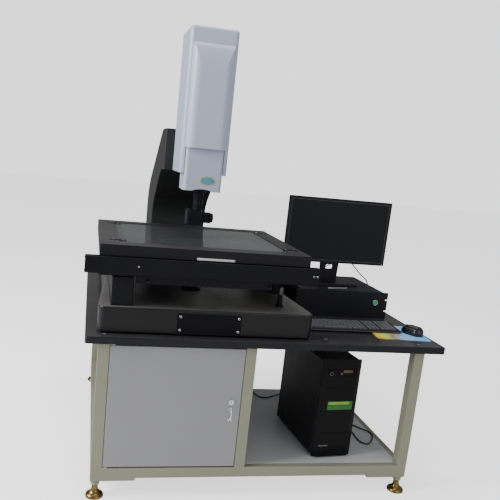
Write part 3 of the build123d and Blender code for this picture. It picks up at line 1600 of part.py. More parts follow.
def cord_radii(points):
    """Bend radius at each inner point: 0.45 of the shorter run over the tangent of half the turn."""
    radii = []
    for before, here, after in zip(points, points[1:], points[2:]):
        a = Vector(*here) - Vector(*before)
        b = Vector(*after) - Vector(*here)
        turn = radians(a.get_angle(b))
        radii.append(0.45 * min(a.length, b.length) / tan(turn / 2))
    return radii


def make_cord(node, points, diameter):
    """Sweeps a round cord along straight runs joined by tangent arcs."""
    radii = cord_radii(points)
    path = FilletPolyline(*points, radius=radii)
    section = Plane(origin=path @ 0, z_dir=path % 0) * Circle(diameter / 2)
    tube_solid = sweep(section, path=path)
    expected = pi * diameter ** 2 / 4 * path.length
    print(node, "radii", [round(r) for r in radii], "volume ratio", round(tube_solid.volume / expected, 4))
    save(node, tube_solid)


def bench_point(x, y, z):
    """A point measured from the bench's left edge, its front edge and its top."""
    return (bench_left + x, bench_front + y, bench_height + z)


def shelf_point(x, y):
    """A point of the power cord's centre line where it lies on the shelf."""
    return (bench_left + x, bench_front + y, shelf_top + cord_diameter / 2 + slide_clearance)


def floor_point(x, y, z):
    """A point measured from the bench's left edge, its front edge and the floor."""
    return (bench_left + x, bench_front + y, z)


def tower_point(x, y, z):
    """A point measured from the middle of the tower's front, turned with the tower."""
    here = (tower_place * Pos(x, y, z)).position
    return (here.X, here.Y, here.Z)


def make_monitor_cord():
    start_z = hinge_z - relief_radius - slide_clearance
    points = [
        (monitor_x + power_relief_from_middle, hinge_y, start_z),
        (monitor_x + power_relief_from_middle, hinge_y + 1, start_z - 36),
        bench_point(1303, 620, 302),
        bench_point(1318, 618, 266),
        bench_point(1342, 620, 238),
        bench_point(1376, 630, 207),
        bench_point(1414, 649, 177),
        bench_point(1447, 664, 156),
        bench_point(1472, 680, 130),
        bench_point(1482, 692, 98),
        bench_point(1486, 712, 64),
        bench_point(1487, 742, 36),
        bench_point(1485, 784, 21),
        bench_point(1478, 826, 18),
        bench_point(1460, 862, 22),
        bench_point(1434, 882, 30),
        bench_point(1410, 882, 42),
        bench_point(power_socket_from_left, 862, power_socket_up),
        (bench_left + power_socket_from_left, controller_back + relief_length, bench_height + power_socket_up),
    ]
    make_cord("monitor_cord", points, cord_diameter)


def make_signal_cord():
    start_z = hinge_z - relief_radius - slide_clearance
    points = [
        (monitor_x + signal_relief_from_middle, hinge_y, start_z),
        (monitor_x + signal_relief_from_middle, hinge_y + 2, start_z - 34),
        bench_point(1274, 630, 304),
        bench_point(1262, 641, 264),
        bench_point(1237, 646, 232),
        bench_point(1202, 645, 210),
        bench_point(1165, 652, 192),
        bench_point(1131, 680, 174),
        bench_point(1109, 722, 161),
        bench_point(1099, 770, 152),
        bench_point(1095, 816, 148),
        bench_point(1093, 852, 137),
        bench_point(1092, 876, 112),
        bench_point(1092, 884, 84),
        bench_point(signal_socket_from_left, 862, signal_socket_up),
        (bench_left + signal_socket_from_left, controller_back + relief_length, bench_height + signal_socket_up),
    ]
    make_cord("signal_cord", points, thin_cord_diameter)


plug_x = bench_left + plug_from_left
plug_y = bench_front + plug_from_front


def make_power_cord():
    back = tower_depth + relief_length
    points = [
        tower_point(tower_socket_from_middle, back, tower_socket_up),
        tower_point(tower_socket_from_middle, back + 36, tower_socket_up),
        tower_point(50, back + 74, 68),
        tower_point(72, back + 104, 34),
        shelf_point(1182, 652),
        shelf_point(1222, 626),
        shelf_point(1254, 576),
        shelf_point(1284, 510),
        shelf_point(1312, 440),
        shelf_point(1334, 374),
        shelf_point(1336, 320),
        shelf_point(1331, 272),
        shelf_point(1333, 231),
        shelf_point(1361, 204),
        shelf_point(1393, 236),
        shelf_point(1419, 276),
        shelf_point(1436, 318),
        shelf_point(1419, 356),
        shelf_point(1385, 394),
        shelf_point(1356, 452),
        shelf_point(1332, 520),
        shelf_point(1300, 590),
        shelf_point(1252, 660),
        shelf_point(1200, 725),
        shelf_point(1150, 785),
        shelf_point(1099, 811),
        shelf_point(1045, 770),
        shelf_point(984, 742),
        shelf_point(954, 790),
        shelf_point(950, 840),
        floor_point(948, 884, shelf_top + 11),
        floor_point(947, 918, shelf_top),
        floor_point(947, 936, 100),
        floor_point(948, 946, 62),
        floor_point(951, 964, 27),
        floor_point(957, 992, 11),
        (plug_x, plug_y - 26, plug_height / 2),
        (plug_x, plug_y, plug_height / 2),
    ]
    make_cord("power_cord", points, cord_diameter)


def make_plug():
    """Moulded plug on the floor behind the bench, pointing back."""
    sections = []
    for y, size in ((0, plug_collar), (plug_length * plug_waist_share, plug_waist),
                    (plug_length, (plug_width, plug_height, plug_corner))):
        plane = Plane(origin=(0, y, 0), x_dir=(1, 0, 0), z_dir=(0, 1, 0))
        sections.append(plane * RectangleRounded(*size))
    body = loft(sections, ruled=True)
    pins = [rod_y(plug_pin_radius, side * plug_pin_pitch / 2, plug_length, plug_length + plug_pin_length, 0)
            for side in (-1, 1)]
    place = Pos(plug_x, plug_y, plug_height / 2)
    save("power_plug", place * body, *[place * pin for pin in pins])


def build():
    os.makedirs("parts", exist_ok=True)
    make_bench_top()
    make_legs()
    make_lower_rails()
    make_upper_rails()
    make_levelling_feet()
    make_shelf()
    make_cabinet_panels()
    make_door()
    make_door_pivots()
    make_door_handle()
    make_door_lock()
    make_machine_base()
    make_base_pads()
    make_access_plate()
    make_y_beams()
    make_y_rails()
    make_y_carriages()
    make_y_drive_cover()
    make_y_drive()
    make_y_screw()
    make_saddle()
    make_x_rails()
    make_x_carriages()
    make_drive_bar()
    make_x_drive()
    make_x_screw()
    make_stage()
    make_contour_light()
    make_column()
    make_head_housing()
    make_head_cover()
    make_z_guide()
    make_z_drive()
    make_z_screw()
    make_z_carriage()
    make_z_shroud()
    make_optics()
    make_ring_light()
    make_controller()
    make_controller_panel()
    make_controller_button()
    make_stand_base()
    make_neck()
    make_monitor_housing()
    make_monitor_screen()
    make_keyboard()
    make_keys()
    make_mouse_pad()
    make_mouse()
    make_tower()
    make_tower_front()
    make_tower_button()
    make_monitor_cord()
    make_signal_cord()
    make_power_cord()
    make_plug()


build()
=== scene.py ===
"""Dresses the vision measuring machine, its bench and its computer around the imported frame."""
import logging
import math
from dataclasses import dataclass
from enum import Enum
from typing import Iterable, Sequence

import bmesh
import bpy
from mathutils import Matrix, Vector


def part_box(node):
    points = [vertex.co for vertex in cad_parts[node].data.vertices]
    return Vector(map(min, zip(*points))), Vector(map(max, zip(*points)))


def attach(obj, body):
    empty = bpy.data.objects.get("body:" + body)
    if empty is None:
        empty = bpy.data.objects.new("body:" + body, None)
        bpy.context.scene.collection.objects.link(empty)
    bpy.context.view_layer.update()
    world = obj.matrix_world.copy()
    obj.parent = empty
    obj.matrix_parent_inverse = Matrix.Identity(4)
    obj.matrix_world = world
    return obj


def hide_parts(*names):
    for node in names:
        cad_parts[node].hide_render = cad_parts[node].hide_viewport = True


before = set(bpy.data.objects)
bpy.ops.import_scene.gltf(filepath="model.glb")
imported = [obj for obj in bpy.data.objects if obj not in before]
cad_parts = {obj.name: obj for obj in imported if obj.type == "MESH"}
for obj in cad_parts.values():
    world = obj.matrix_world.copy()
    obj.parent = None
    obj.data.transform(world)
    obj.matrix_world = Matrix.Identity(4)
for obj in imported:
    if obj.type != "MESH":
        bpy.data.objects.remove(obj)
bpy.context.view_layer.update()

MM = 0.001
ROOT = "root"
BENCH_LEFT = -0.767
BENCH_FRONT = -0.670
BENCH_HEIGHT = 0.700
SHELF_TOP = 0.135

log = logging.getLogger("measuring_station")
Point = tuple[float, float, float]


class Turn(Enum):
    """Which way a flat piece faces, as the axis that its own +Z turns to."""

    UP = "up"
    FRONT = "front"
    LEFT = "left"
    RIGHT = "right"
    BACK = "back"

    def matrix(self) -> Matrix:
        """Rotation that turns +Z to this side and keeps +X level."""
        angles = {
            Turn.UP: Matrix.Identity(4),
            Turn.FRONT: Matrix.Rotation(math.radians(90), 4, "X"),
            Turn.BACK: Matrix.Rotation(math.radians(180), 4, "Z") @ Matrix.Rotation(math.radians(90), 4, "X"),
            Turn.LEFT: Matrix.Rotation(math.radians(-90), 4, "Z") @ Matrix.Rotation(math.radians(90), 4, "X"),
            Turn.RIGHT: Matrix.Rotation(math.radians(90), 4, "Z") @ Matrix.Rotation(math.radians(90), 4, "X"),
        }
        return angles[self]


class Effect:
    """A shader node group that several finishes share."""

    def __init__(self, name: str, inputs: Sequence[tuple[str, str, object]],
                 outputs: Sequence[tuple[str, str]]) -> None:
        """Makes an empty group with its sockets.

        Args:
            name: The group's name.
            inputs: Name, socket type and default of each input.
            outputs: Name and socket type of each output.
        """
        self.tree = bpy.data.node_groups.new(name, "ShaderNodeTree")
        for label, kind, default in inputs:
            socket = self.tree.interface.new_socket(name=label, in_out="INPUT", socket_type=kind)
            socket.default_value = default
        for label, kind in outputs:
            self.tree.interface.new_socket(name=label, in_out="OUTPUT", socket_type=kind)
        self.entry = self.tree.nodes.new("NodeGroupInput")
        self.exit = self.tree.nodes.new("NodeGroupOutput")

    def node(self, kind: str, **values: object) -> bpy.types.Node:
        """Adds a node to the group.

        Args:
            kind: The node's type name.
            values: Attributes to set on it.

        Returns:
            The new node.
        """
        made = self.tree.nodes.new(kind)
        for key, value in values.items():
            setattr(made, key, value)
        return made

    def link(self, source: bpy.types.NodeSocket, target: bpy.types.NodeSocket) -> None:
        """Joins two sockets."""
        self.tree.links.new(source, target)

    def noise(self, scale: float | None, detail: float = 4.0,
              stretch: Point = (1.0, 1.0, 1.0)) -> bpy.types.Node:
        """Adds a noise texture on the object's own coordinates.

        Args:
            scale: Cells per metre, or None to read the group's Scale input.
            detail: Octaves of detail.
            stretch: Factors on the coordinates, for noise drawn out along an axis.

        Returns:
            The noise node.
        """
        place = self.node("ShaderNodeTexCoord")
        mapping = self.node("ShaderNodeMapping")
        mapping.inputs["Scale"].default_value = stretch
        texture = self.node("ShaderNodeTexNoise")
        texture.inputs["Detail"].default_value = detail
        self.link(place.outputs["Object"], mapping.inputs["Vector"])
        self.link(mapping.outputs["Vector"], texture.inputs["Vector"])
        if scale is None:
            self.link(self.entry.outputs["Scale"], texture.inputs["Scale"])
        else:
            texture.inputs["Scale"].default_value = scale
        return texture

    def math(self, operation: str, first: object, second: object) -> bpy.types.NodeSocket:
        """Adds a math node whose inputs are sockets or plain numbers.

        Args:
            operation: The math node's operation.
            first: First operand.
            second: Second operand.

        Returns:
            Its output socket.
        """
        made = self.node("ShaderNodeMath", operation=operation)
        for slot, value in zip(made.inputs, (first, second)):
            if isinstance(value, (int, float)):
                slot.default_value = value
            else:
                self.link(value, slot)
        return made.outputs[0]


def tone_effect() -> Effect:
    """Uneven lightness of a coat.

    Returns:
        A group from Color, Amount and Scale to Color.
    """
    effect = Effect("uneven_tone", [("Color", "NodeSocketColor", (0.5, 0.5, 0.5, 1.0)),
                                    ("Amount", "NodeSocketFloat", 0.1), ("Scale", "NodeSocketFloat", 6.0)],
                    [("Color", "NodeSocketColor")])
    cloud = effect.noise(None, detail=5.0)
    centred = effect.math("SUBTRACT", cloud.outputs["Fac"], 0.5)
    swing = effect.math("MULTIPLY", centred, effect.entry.outputs["Amount"])
    value = effect.math("MULTIPLY_ADD", swing, 2.0)
    value.node.inputs[2].default_value = 1.0
    shade = effect.node("ShaderNodeHueSaturation")
    effect.link(value, shade.inputs["Value"])
    effect.link(effect.entry.outputs["Color"], shade.inputs["Color"])
    effect.link(shade.outputs["Color"], effect.exit.inputs["Color"])
    return effect


def smudge_effect() -> Effect:
    """Handling marks that change how sharply a surface reflects.

    Returns:
        A group from Roughness, Amount and Scale to Roughness.
    """
    effect = Effect("handling_marks", [("Roughness", "NodeSocketFloat", 0.5),
                                       ("Amount", "NodeSocketFloat", 0.1),
                                       ("Scale", "NodeSocketFloat", 14.0)],
                    [("Roughness", "NodeSocketFloat")])
    cloud = effect.noise(None, detail=8.0)
    centred = effect.math("SUBTRACT", cloud.outputs["Fac"], 0.5)
    swing = effect.math("MULTIPLY", centred, effect.entry.outputs["Amount"])
    total = effect.math("ADD", swing, effect.entry.outputs["Roughness"])
    effect.link(total, effect.exit.inputs["Roughness"])
    return effect


def grain_effect() -> Effect:
    """Fine pebble of powder coat or moulded plastic.

    Returns:
        A group from Scale to Height.
    """
    effect = Effect("pebble_grain", [("Scale", "NodeSocketFloat", 900.0)], [("Height", "NodeSocketFloat")])
    fine = effect.noise(None, detail=2.0)
    effect.link(fine.outputs["Fac"], effect.exit.inputs["Height"])
    return effect


def dust_and_sheen_effect() -> Effect:
    """Thin dust on what faces up, which also paints a sheen there: a lighter colour mixed in by patchy noise,
    strongest on the granite base's top.

    Returns:
        A group from Color, Dust and sheen, and Amount to Color.
    """
    effect = Effect("dust_and_top_sheen", [("Color", "NodeSocketColor", (0.5, 0.5, 0.5, 1.0)),
                                     ("Dust and sheen", "NodeSocketColor", (0.32, 0.31, 0.3, 1.0)),
                                     ("Amount", "NodeSocketFloat", 0.1)], [("Color", "NodeSocketColor")])
    surface = effect.node("ShaderNodeNewGeometry")
    parts = effect.node("ShaderNodeSeparateXYZ")
    effect.link(surface.outputs["Normal"], parts.inputs["Vector"])
    facing = effect.node("ShaderNodeMapRange")
    facing.inputs["From Min"].default_value = 0.6
    facing.inputs["From Max"].default_value = 1.0
    effect.link(parts.outputs["Z"], facing.inputs["Value"])
    cloud = effect.noise(2.5, detail=7.0)
    patchy = effect.math("MULTIPLY", cloud.outputs["Fac"], facing.outputs["Result"])
    share = effect.math("MULTIPLY", patchy, effect.entry.outputs["Amount"])
    blend = effect.node("ShaderNodeMix", data_type="RGBA")
    effect.link(share, blend.inputs["Factor"])
    effect.link(effect.entry.outputs["Color"], blend.inputs[6])
    effect.link(effect.entry.outputs["Dust and sheen"], blend.inputs[7])
    effect.link(blend.outputs[2], effect.exit.inputs["Color"])
    return effect


def brushed_effect(name: str, stretch: Point) -> Effect:
    """Fine parallel lines of a ground or brushed metal.

    Args:
        name: The group's name.
        stretch: Factors that draw the lines out along one axis.

    Returns:
        A group from Scale to Height.
    """
    effect = Effect(name, [("Scale", "NodeSocketFloat", 300.0)], [("Height", "NodeSocketFloat")])
    lines = effect.noise(None, detail=3.0, stretch=stretch)
    effect.link(lines.outputs["Fac"], effect.exit.inputs["Height"])
    return effect


def fleck_effect() -> Effect:
    """Pale mineral flecks in dark stone.

    Returns:
        A group from Color, Fleck and Scale to Color.
    """
    effect = Effect("mineral_flecks", [("Color", "NodeSocketColor", (0.02, 0.02, 0.02, 1.0)),
                                       ("Fleck", "NodeSocketColor", (0.12, 0.12, 0.13, 1.0)),
                                       ("Scale", "NodeSocketFloat", 700.0)], [("Color", "NodeSocketColor")])
    fine = effect.noise(None, detail=2.0)
    mask = effect.node("ShaderNodeMapRange")
    mask.inputs["From Min"].default_value = 0.58
    mask.inputs["From Max"].default_value = 0.75
    effect.link(fine.outputs["Fac"], mask.inputs["Value"])
    blend = effect.node("ShaderNodeMix", data_type="RGBA")
    effect.link(mask.outputs["Result"], blend.inputs["Factor"])
    effect.link(effect.entry.outputs["Color"], blend.inputs[6])
    effect.link(effect.entry.outputs["Fleck"], blend.inputs[7])
    effect.link(blend.outputs[2], effect.exit.inputs["Color"])
    return effect


class Effects:
    """The shared node groups, built once."""

    def __init__(self) -> None:
        """Builds every group."""
        self.tone = tone_effect()
        self.smudge = smudge_effect()
        self.grain = grain_effect()
        self.dust_and_sheen = dust_and_sheen_effect()
        self.flecks = fleck_effect()
        self.ground_y = brushed_effect("ground_along_y", (1.0, 0.02, 1.0))
        self.ground_x = brushed_effect("ground_along_x", (0.02, 1.0, 1.0))


def use(tree: bpy.types.NodeTree, effect: Effect, **values: float) -> bpy.types.Node:
    """Places a shared group in a material and sets its plain inputs.

    Args:
        tree: The material's node tree.
        effect: The shared group.
        values: Values of its inputs.

    Returns:
        The group node.
    """
    node = tree.nodes.new("ShaderNodeGroup")
    node.node_tree = effect.tree
    for key, value in values.items():
        node.inputs[key].default_value = value
    return node


class Texture(Enum):
    """What the fine relief of a finish is."""

    PEBBLE = "pebble"
    GROUND_X = "ground_x"
    GROUND_Y = "ground_y"


@dataclass(frozen=True)
class Finish:
    """One surface finish and what it takes to look real.

    Attributes:
        name: Material name.
        color: Linear base colour.
        roughness: Mean roughness.
        metallic: 1 for bare metal.
        specular: Strength of the dielectric reflection.
        vary: How uneven the tone is.
        vary_scale: Patches per metre.
        marks: How much handling changes the roughness.
        grain: Cells per metre of the relief.
        depth: Relief in metres.
        dust_and_sheen: Share of dust and of painted sheen on what faces up.
        coat: Weight of a clear coat.
        flecks: Colour of mineral flecks, or None.
        texture: Kind of relief.
        glow: Emission strength in the finish's own colour.
    """

    name: str
    color: Point
    roughness: float = 0.5
    metallic: float = 0.0
    specular: float = 0.5
    vary: float = 0.08
    vary_scale: float = 5.0
    marks: float = 0.12
    grain: float = 900.0
    depth: float = 0.00004
    dust_and_sheen: float = 0.0
    coat: float = 0.0
    flecks: Point | None = None
    texture: Texture = Texture.PEBBLE
    glow: float = 0.0

    def make(self, effects: Effects) -> bpy.types.Material:
        """Builds the material.

        Args:
            effects: The shared node groups.

        Returns:
            The new material.
        """
        material = bpy.data.materials.new(self.name)
        material.use_nodes = True
        tree = material.node_tree
        shader = tree.nodes["Principled BSDF"]
        shader.inputs["Metallic"].default_value = self.metallic
        shader.inputs["Specular IOR Level"].default_value = self.specular
        shader.inputs["Coat Weight"].default_value = self.coat
        if self.coat > 0:
            shader.inputs["Coat Roughness"].default_value = 0.08
        tone = use(tree, effects.tone, Amount=self.vary, Scale=self.vary_scale)
        tone.inputs["Color"].default_value = (*self.color, 1.0)
        color = tone.outputs["Color"]
        if self.flecks is not None:
            flecks = use(tree, effects.flecks, Scale=self.grain)
            flecks.inputs["Fleck"].default_value = (*self.flecks, 1.0)
            tree.links.new(color, flecks.inputs["Color"])
            color = flecks.outputs["Color"]
        # Dust and painted sheen: a lighter colour mixed in where the surface faces up.
        if self.dust_and_sheen > 0:
            dust_and_sheen = use(tree, effects.dust_and_sheen, Amount=self.dust_and_sheen)
            tree.links.new(color, dust_and_sheen.inputs["Color"])
            color = dust_and_sheen.outputs["Color"]
        tree.links.new(color, shader.inputs["Base Color"])
        if self.glow > 0:
            tree.links.new(color, shader.inputs["Emission Color"])
            shader.inputs["Emission Strength"].default_value = self.glow
        marks = use(tree, effects.smudge, Roughness=self.roughness, Amount=self.marks)
        tree.links.new(marks.outputs["Roughness"], shader.inputs["Roughness"])
        reliefs = {Texture.PEBBLE: effects.grain, Texture.GROUND_X: effects.ground_x,
                   Texture.GROUND_Y: effects.ground_y}
        relief = use(tree, reliefs[self.texture], Scale=self.grain)
        bump = tree.nodes.new("ShaderNodeBump")
        bump.inputs["Distance"].default_value = self.depth
        bump.inputs["Strength"].default_value = 1.0
        tree.links.new(relief.outputs["Height"], bump.inputs["Height"])
        tree.links.new(bump.outputs["Normal"], shader.inputs["Normal"])
        return material


@dataclass(frozen=True)
class Glass:
    """Clear or tinted glass.

    Attributes:
        name: Material name.
        color: Tint.
        roughness: How much it blurs.
        transmission: Share of light that goes through.
        shadow: How much the pane darkens what lies under it.
    """

    name: str
    color: Point
    roughness: float = 0.03
    transmission: float = 1.0
    shadow: float = 0.45

    def make(self, effects: Effects) -> bpy.types.Material:
        """Builds the material.

        Args:
            effects: The shared node groups.

        Returns:
            The new material.
        """
        material = bpy.data.materials.new(self.name)
        material.use_nodes = True
        tree = material.node_tree
        shader = tree.nodes["Principled BSDF"]
        shader.inputs["Transmission Weight"].default_value = self.transmission
        shader.inputs["IOR"].default_value = 1.5
        tone = use(tree, effects.tone, Amount=0.05, Scale=3.0)
        tone.inputs["Color"].default_value = (*self.color, 1.0)
        tree.links.new(tone.outputs["Color"], shader.inputs["Base Color"])
        marks = use(tree, effects.smudge, Roughness=self.roughness, Amount=0.04)
        tree.links.new(marks.outputs["Roughness"], shader.inputs["Roughness"])
        path = tree.nodes.new("ShaderNodeLightPath")
        clear = tree.nodes.new("ShaderNodeMapRange")
        clear.inputs["To Min"].default_value = 1.0
        clear.inputs["To Max"].default_value = self.shadow
        tree.links.new(path.outputs["Is Shadow Ray"], clear.inputs["Value"])
        tree.links.new(clear.outputs["Result"], shader.inputs["Alpha"])
        return material


@dataclass(frozen=True)
class PadPrint:
    """Soft generic colours printed on the mouse pad, from amber through green to blue.

    Attributes:
        name: Material name.
        stops: Place along the pad and linear colour of each stop.
        start: X where the first colour starts, in metres.
        reach: Length of the whole run in metres.
    """

    name: str
    stops: tuple[tuple[float, Point], ...]
    start: float
    reach: float

    def make(self, effects: Effects) -> bpy.types.Material:
        """Builds the material.

        Args:
            effects: The shared node groups.

        Returns:
            The new material.
        """
        material = bpy.data.materials.new(self.name)
        material.use_nodes = True
        tree = material.node_tree
        shader = tree.nodes["Principled BSDF"]
        shader.inputs["Roughness"].default_value = 0.8
        shader.inputs["Specular IOR Level"].default_value = 0.25
        where = tree.nodes.new("ShaderNodeTexCoord")
        parts = tree.nodes.new("ShaderNodeSeparateXYZ")
        tree.links.new(where.outputs["Object"], parts.inputs["Vector"])
        cloud = tree.nodes.new("ShaderNodeTexNoise")
        cloud.inputs["Scale"].default_value = 16.0
        cloud.inputs["Detail"].default_value = 3.0
        tree.links.new(where.outputs["Object"], cloud.inputs["Vector"])
        wave = tree.nodes.new("ShaderNodeMath")
        wave.operation = "MULTIPLY_ADD"
        tree.links.new(cloud.outputs["Fac"], wave.inputs[0])
        wave.inputs[1].default_value = 0.12
        tree.links.new(parts.outputs["X"], wave.inputs[2])
        share = tree.nodes.new("ShaderNodeMapRange")
        share.inputs["From Min"].default_value = self.start + 0.06
        share.inputs["From Max"].default_value = self.start + self.reach + 0.06
        tree.links.new(wave.outputs[0], share.inputs["Value"])
        ramp = tree.nodes.new("ShaderNodeValToRGB")
        points = ramp.color_ramp.elements
        while len(points) < len(self.stops):
            points.new(0.5)
        for point, (position, color) in zip(points, self.stops):
            point.position = position
            point.color = (*color, 1.0)
        tree.links.new(share.outputs["Result"], ramp.inputs["Fac"])
        tree.links.new(ramp.outputs["Color"], shader.inputs["Base Color"])
        weave = use(tree, effects.grain, Scale=1600.0)
        bump = tree.nodes.new("ShaderNodeBump")
        bump.inputs["Distance"].default_value = 0.0002
        tree.links.new(weave.outputs["Height"], bump.inputs["Height"])
        tree.links.new(bump.outputs["Normal"], shader.inputs["Normal"])
        return material


FINISHES: tuple[Finish | Glass | PadPrint, ...] = (
    Finish("bench_laminate", (0.009, 0.009, 0.013), roughness=0.2, specular=0.3, grain=60.0, depth=0.00002,
           marks=0.1, dust_and_sheen=0.14, vary=0.2),
    Finish("frame_powder", (0.3, 0.304, 0.222), roughness=0.42, vary=0.06, dust_and_sheen=0.05),
    Finish("shelf_powder", (0.66, 0.68, 0.71), roughness=0.33, vary=0.08, dust_and_sheen=0.05),
    Finish("door_powder", (0.33, 0.33, 0.35), roughness=0.5, vary=0.05),
    Finish("passivated_brass", (0.26, 0.175, 0.06), roughness=0.27, metallic=1.0, vary=0.25,
           vary_scale=60.0,
           marks=0.3),
    Finish("ground_steel_y", (0.5, 0.5, 0.5), roughness=0.3, metallic=1.0, texture=Texture.GROUND_Y,
           grain=1500.0,
           depth=0.00002),
    Finish("ground_steel_x", (0.5, 0.5, 0.5), roughness=0.3, metallic=1.0, texture=Texture.GROUND_X,
           grain=1500.0,
           depth=0.00002),
    Finish("bright_chrome", (0.75, 0.76, 0.78), roughness=0.1, metallic=1.0, depth=0.0, marks=0.08),
    Finish("pad_rubber", (0.015, 0.015, 0.015), roughness=0.8, specular=0.3),
    # Painted sheen: the large dust_and_sheen share lightens the base's top to stand in for the grazing
    # reflection there, along with some dust.
    Finish("black_granite", (0.0035, 0.0035, 0.005), roughness=0.3, specular=0.4, flecks=(0.014, 0.014,
           0.016),
           grain=1400.0, depth=0.000015, dust_and_sheen=0.75, vary=0.15),
    Finish("black_powder", (0.006, 0.006, 0.009), roughness=0.5, specular=0.2, grain=1500.0, depth=0.00006),
    Finish("column_powder", (0.02, 0.021, 0.022), roughness=0.55, specular=0.3, grain=1500.0,
           depth=0.00008),
    Finish("motor_lacquer", (0.008, 0.008, 0.009), roughness=0.4, specular=0.25),
    Finish("black_anodising", (0.005, 0.005, 0.008), roughness=0.36, specular=0.2, grain=2500.0,
           depth=0.00002),
    Finish("head_enamel", (0.5, 0.545, 0.7), roughness=0.3, vary=0.03, marks=0.08, depth=0.00001,
           grain=300.0),
    Finish("stage_lacquer", (0.009, 0.009, 0.012), roughness=0.4, specular=0.25, grain=1800.0,
           depth=0.00003,
           dust_and_sheen=0.22),
    Glass("stage_plate_glass", (0.2, 0.215, 0.22), roughness=0.04, transmission=0.75),
    Finish("case_powder", (0.010, 0.010, 0.013), roughness=0.5, specular=0.26, grain=2200.0, depth=0.00005),
    Finish("lit_green", (0.01, 0.25, 0.1), roughness=0.3, glow=0.6, depth=0.0),
    Finish("black_moulding", (0.009, 0.009, 0.012), roughness=0.45, specular=0.25, grain=2600.0,
           depth=0.00002),
    Finish("screen_face", (0.012, 0.0125, 0.015), roughness=0.28, specular=0.22, depth=0.0, vary=0.02,
           marks=0.02),
    # Painted highlight: the keys are a lighter grey than the black case, standing in for the light their tops
    # catch.
    Finish("key_moulding", (0.125, 0.125, 0.145), roughness=0.36, specular=0.5, grain=4000.0,
           depth=0.00001),
    Finish("tower_gloss", (0.003, 0.003, 0.004), roughness=0.3, specular=0.14, depth=0.0),
    Finish("cord_sheath", (0.012, 0.012, 0.013), roughness=0.5, specular=0.4, depth=0.0, vary=0.1),
    PadPrint("pad_print", ((0.0, (0.8, 0.42, 0.03)), (0.1, (0.85, 0.72, 0.06)), (0.24, (0.5, 0.78, 0.16)),
                           (0.36, (0.42, 0.24, 0.14)), (0.5, (0.3, 0.6, 0.95)), (1.0, (0.16, 0.48, 1.0))),
             start=0.51, reach=0.27),
    Finish("label_white", (0.75, 0.75, 0.74), roughness=0.4, depth=0.0),
    Finish("label_green", (0.02, 0.17, 0.012), roughness=0.35, depth=0.0, vary=0.5, vary_scale=30.0),
    Finish("label_lime", (0.26, 0.46, 0.04), roughness=0.35, depth=0.0, vary=0.4, vary_scale=40.0),
    Finish("label_amber", (0.12, 0.055, 0.01), roughness=0.35, depth=0.0, vary=0.8, vary_scale=70.0),
    Finish("zinc_screw", (0.62, 0.62, 0.63), roughness=0.28, metallic=1.0, depth=0.0, marks=0.2),
    Finish("dark_screw", (0.03, 0.03, 0.032), roughness=0.35, metallic=0.6, depth=0.0, marks=0.2),
    Finish("galvanised", (0.42, 0.43, 0.44), roughness=0.42, metallic=1.0, vary=0.3, vary_scale=80.0,
           depth=0.0,
           marks=0.25),
    Finish("plug_brass", (0.62, 0.48, 0.22), roughness=0.25, metallic=1.0, depth=0.0, marks=0.2),
    Finish("cap_grey", (0.12, 0.12, 0.13), roughness=0.4, depth=0.0),
    Finish("edge_grey", (0.12, 0.12, 0.13), roughness=0.4, depth=0.0),
    Finish("lamp_white", (0.8, 0.82, 0.85), roughness=0.3, depth=0.0, glow=0.2),
    Finish("badge_rim", (0.5, 0.46, 0.2), roughness=0.35, depth=0.0),
    Finish("badge_face", (0.1, 0.34, 0.46), roughness=0.35, depth=0.0, vary=0.35, vary_scale=40.0),
    Finish("plate_black", (0.003, 0.003, 0.005), roughness=0.4, specular=0.15, grain=1500.0, depth=0.00003),
    Finish("bezel_moulding", (0.006, 0.006, 0.008), roughness=0.35, specular=0.3, grain=2600.0,
           depth=0.00002),
    Finish("mouse_gloss", (0.006, 0.006, 0.009), roughness=0.2, specular=0.5, depth=0.0, coat=0.4),
    Finish("vent_grey", (0.05, 0.05, 0.056), roughness=0.5, depth=0.0),
    # Painted shade: near-black sheets that stand in for the shade inside vents, slots, sockets, ports and fan
    # openings; the same black also draws the seam lines on the tower's front.
    Finish("recess_black", (0.005, 0.005, 0.005), roughness=0.9, specular=0.1, depth=0.0),
)


class Palette:
    """All materials by name."""

    def __init__(self) -> None:
        """Builds the shared groups and then every finish."""
        effects = Effects()
        self.materials = {finish.name: finish.make(effects) for finish in FINISHES}

    def __getitem__(self, name: str) -> bpy.types.Material:
        """The material of that name."""
        return self.materials[name]

    def dress(self, name: str, *nodes: str) -> None:
        """Puts a material on CAD nodes.

        Args:
            name: The material's name.
            nodes: The nodes that wear it.
        """
        for node in nodes:
            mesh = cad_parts[node].data
            mesh.materials.clear()
            mesh.materials.append(self[name])


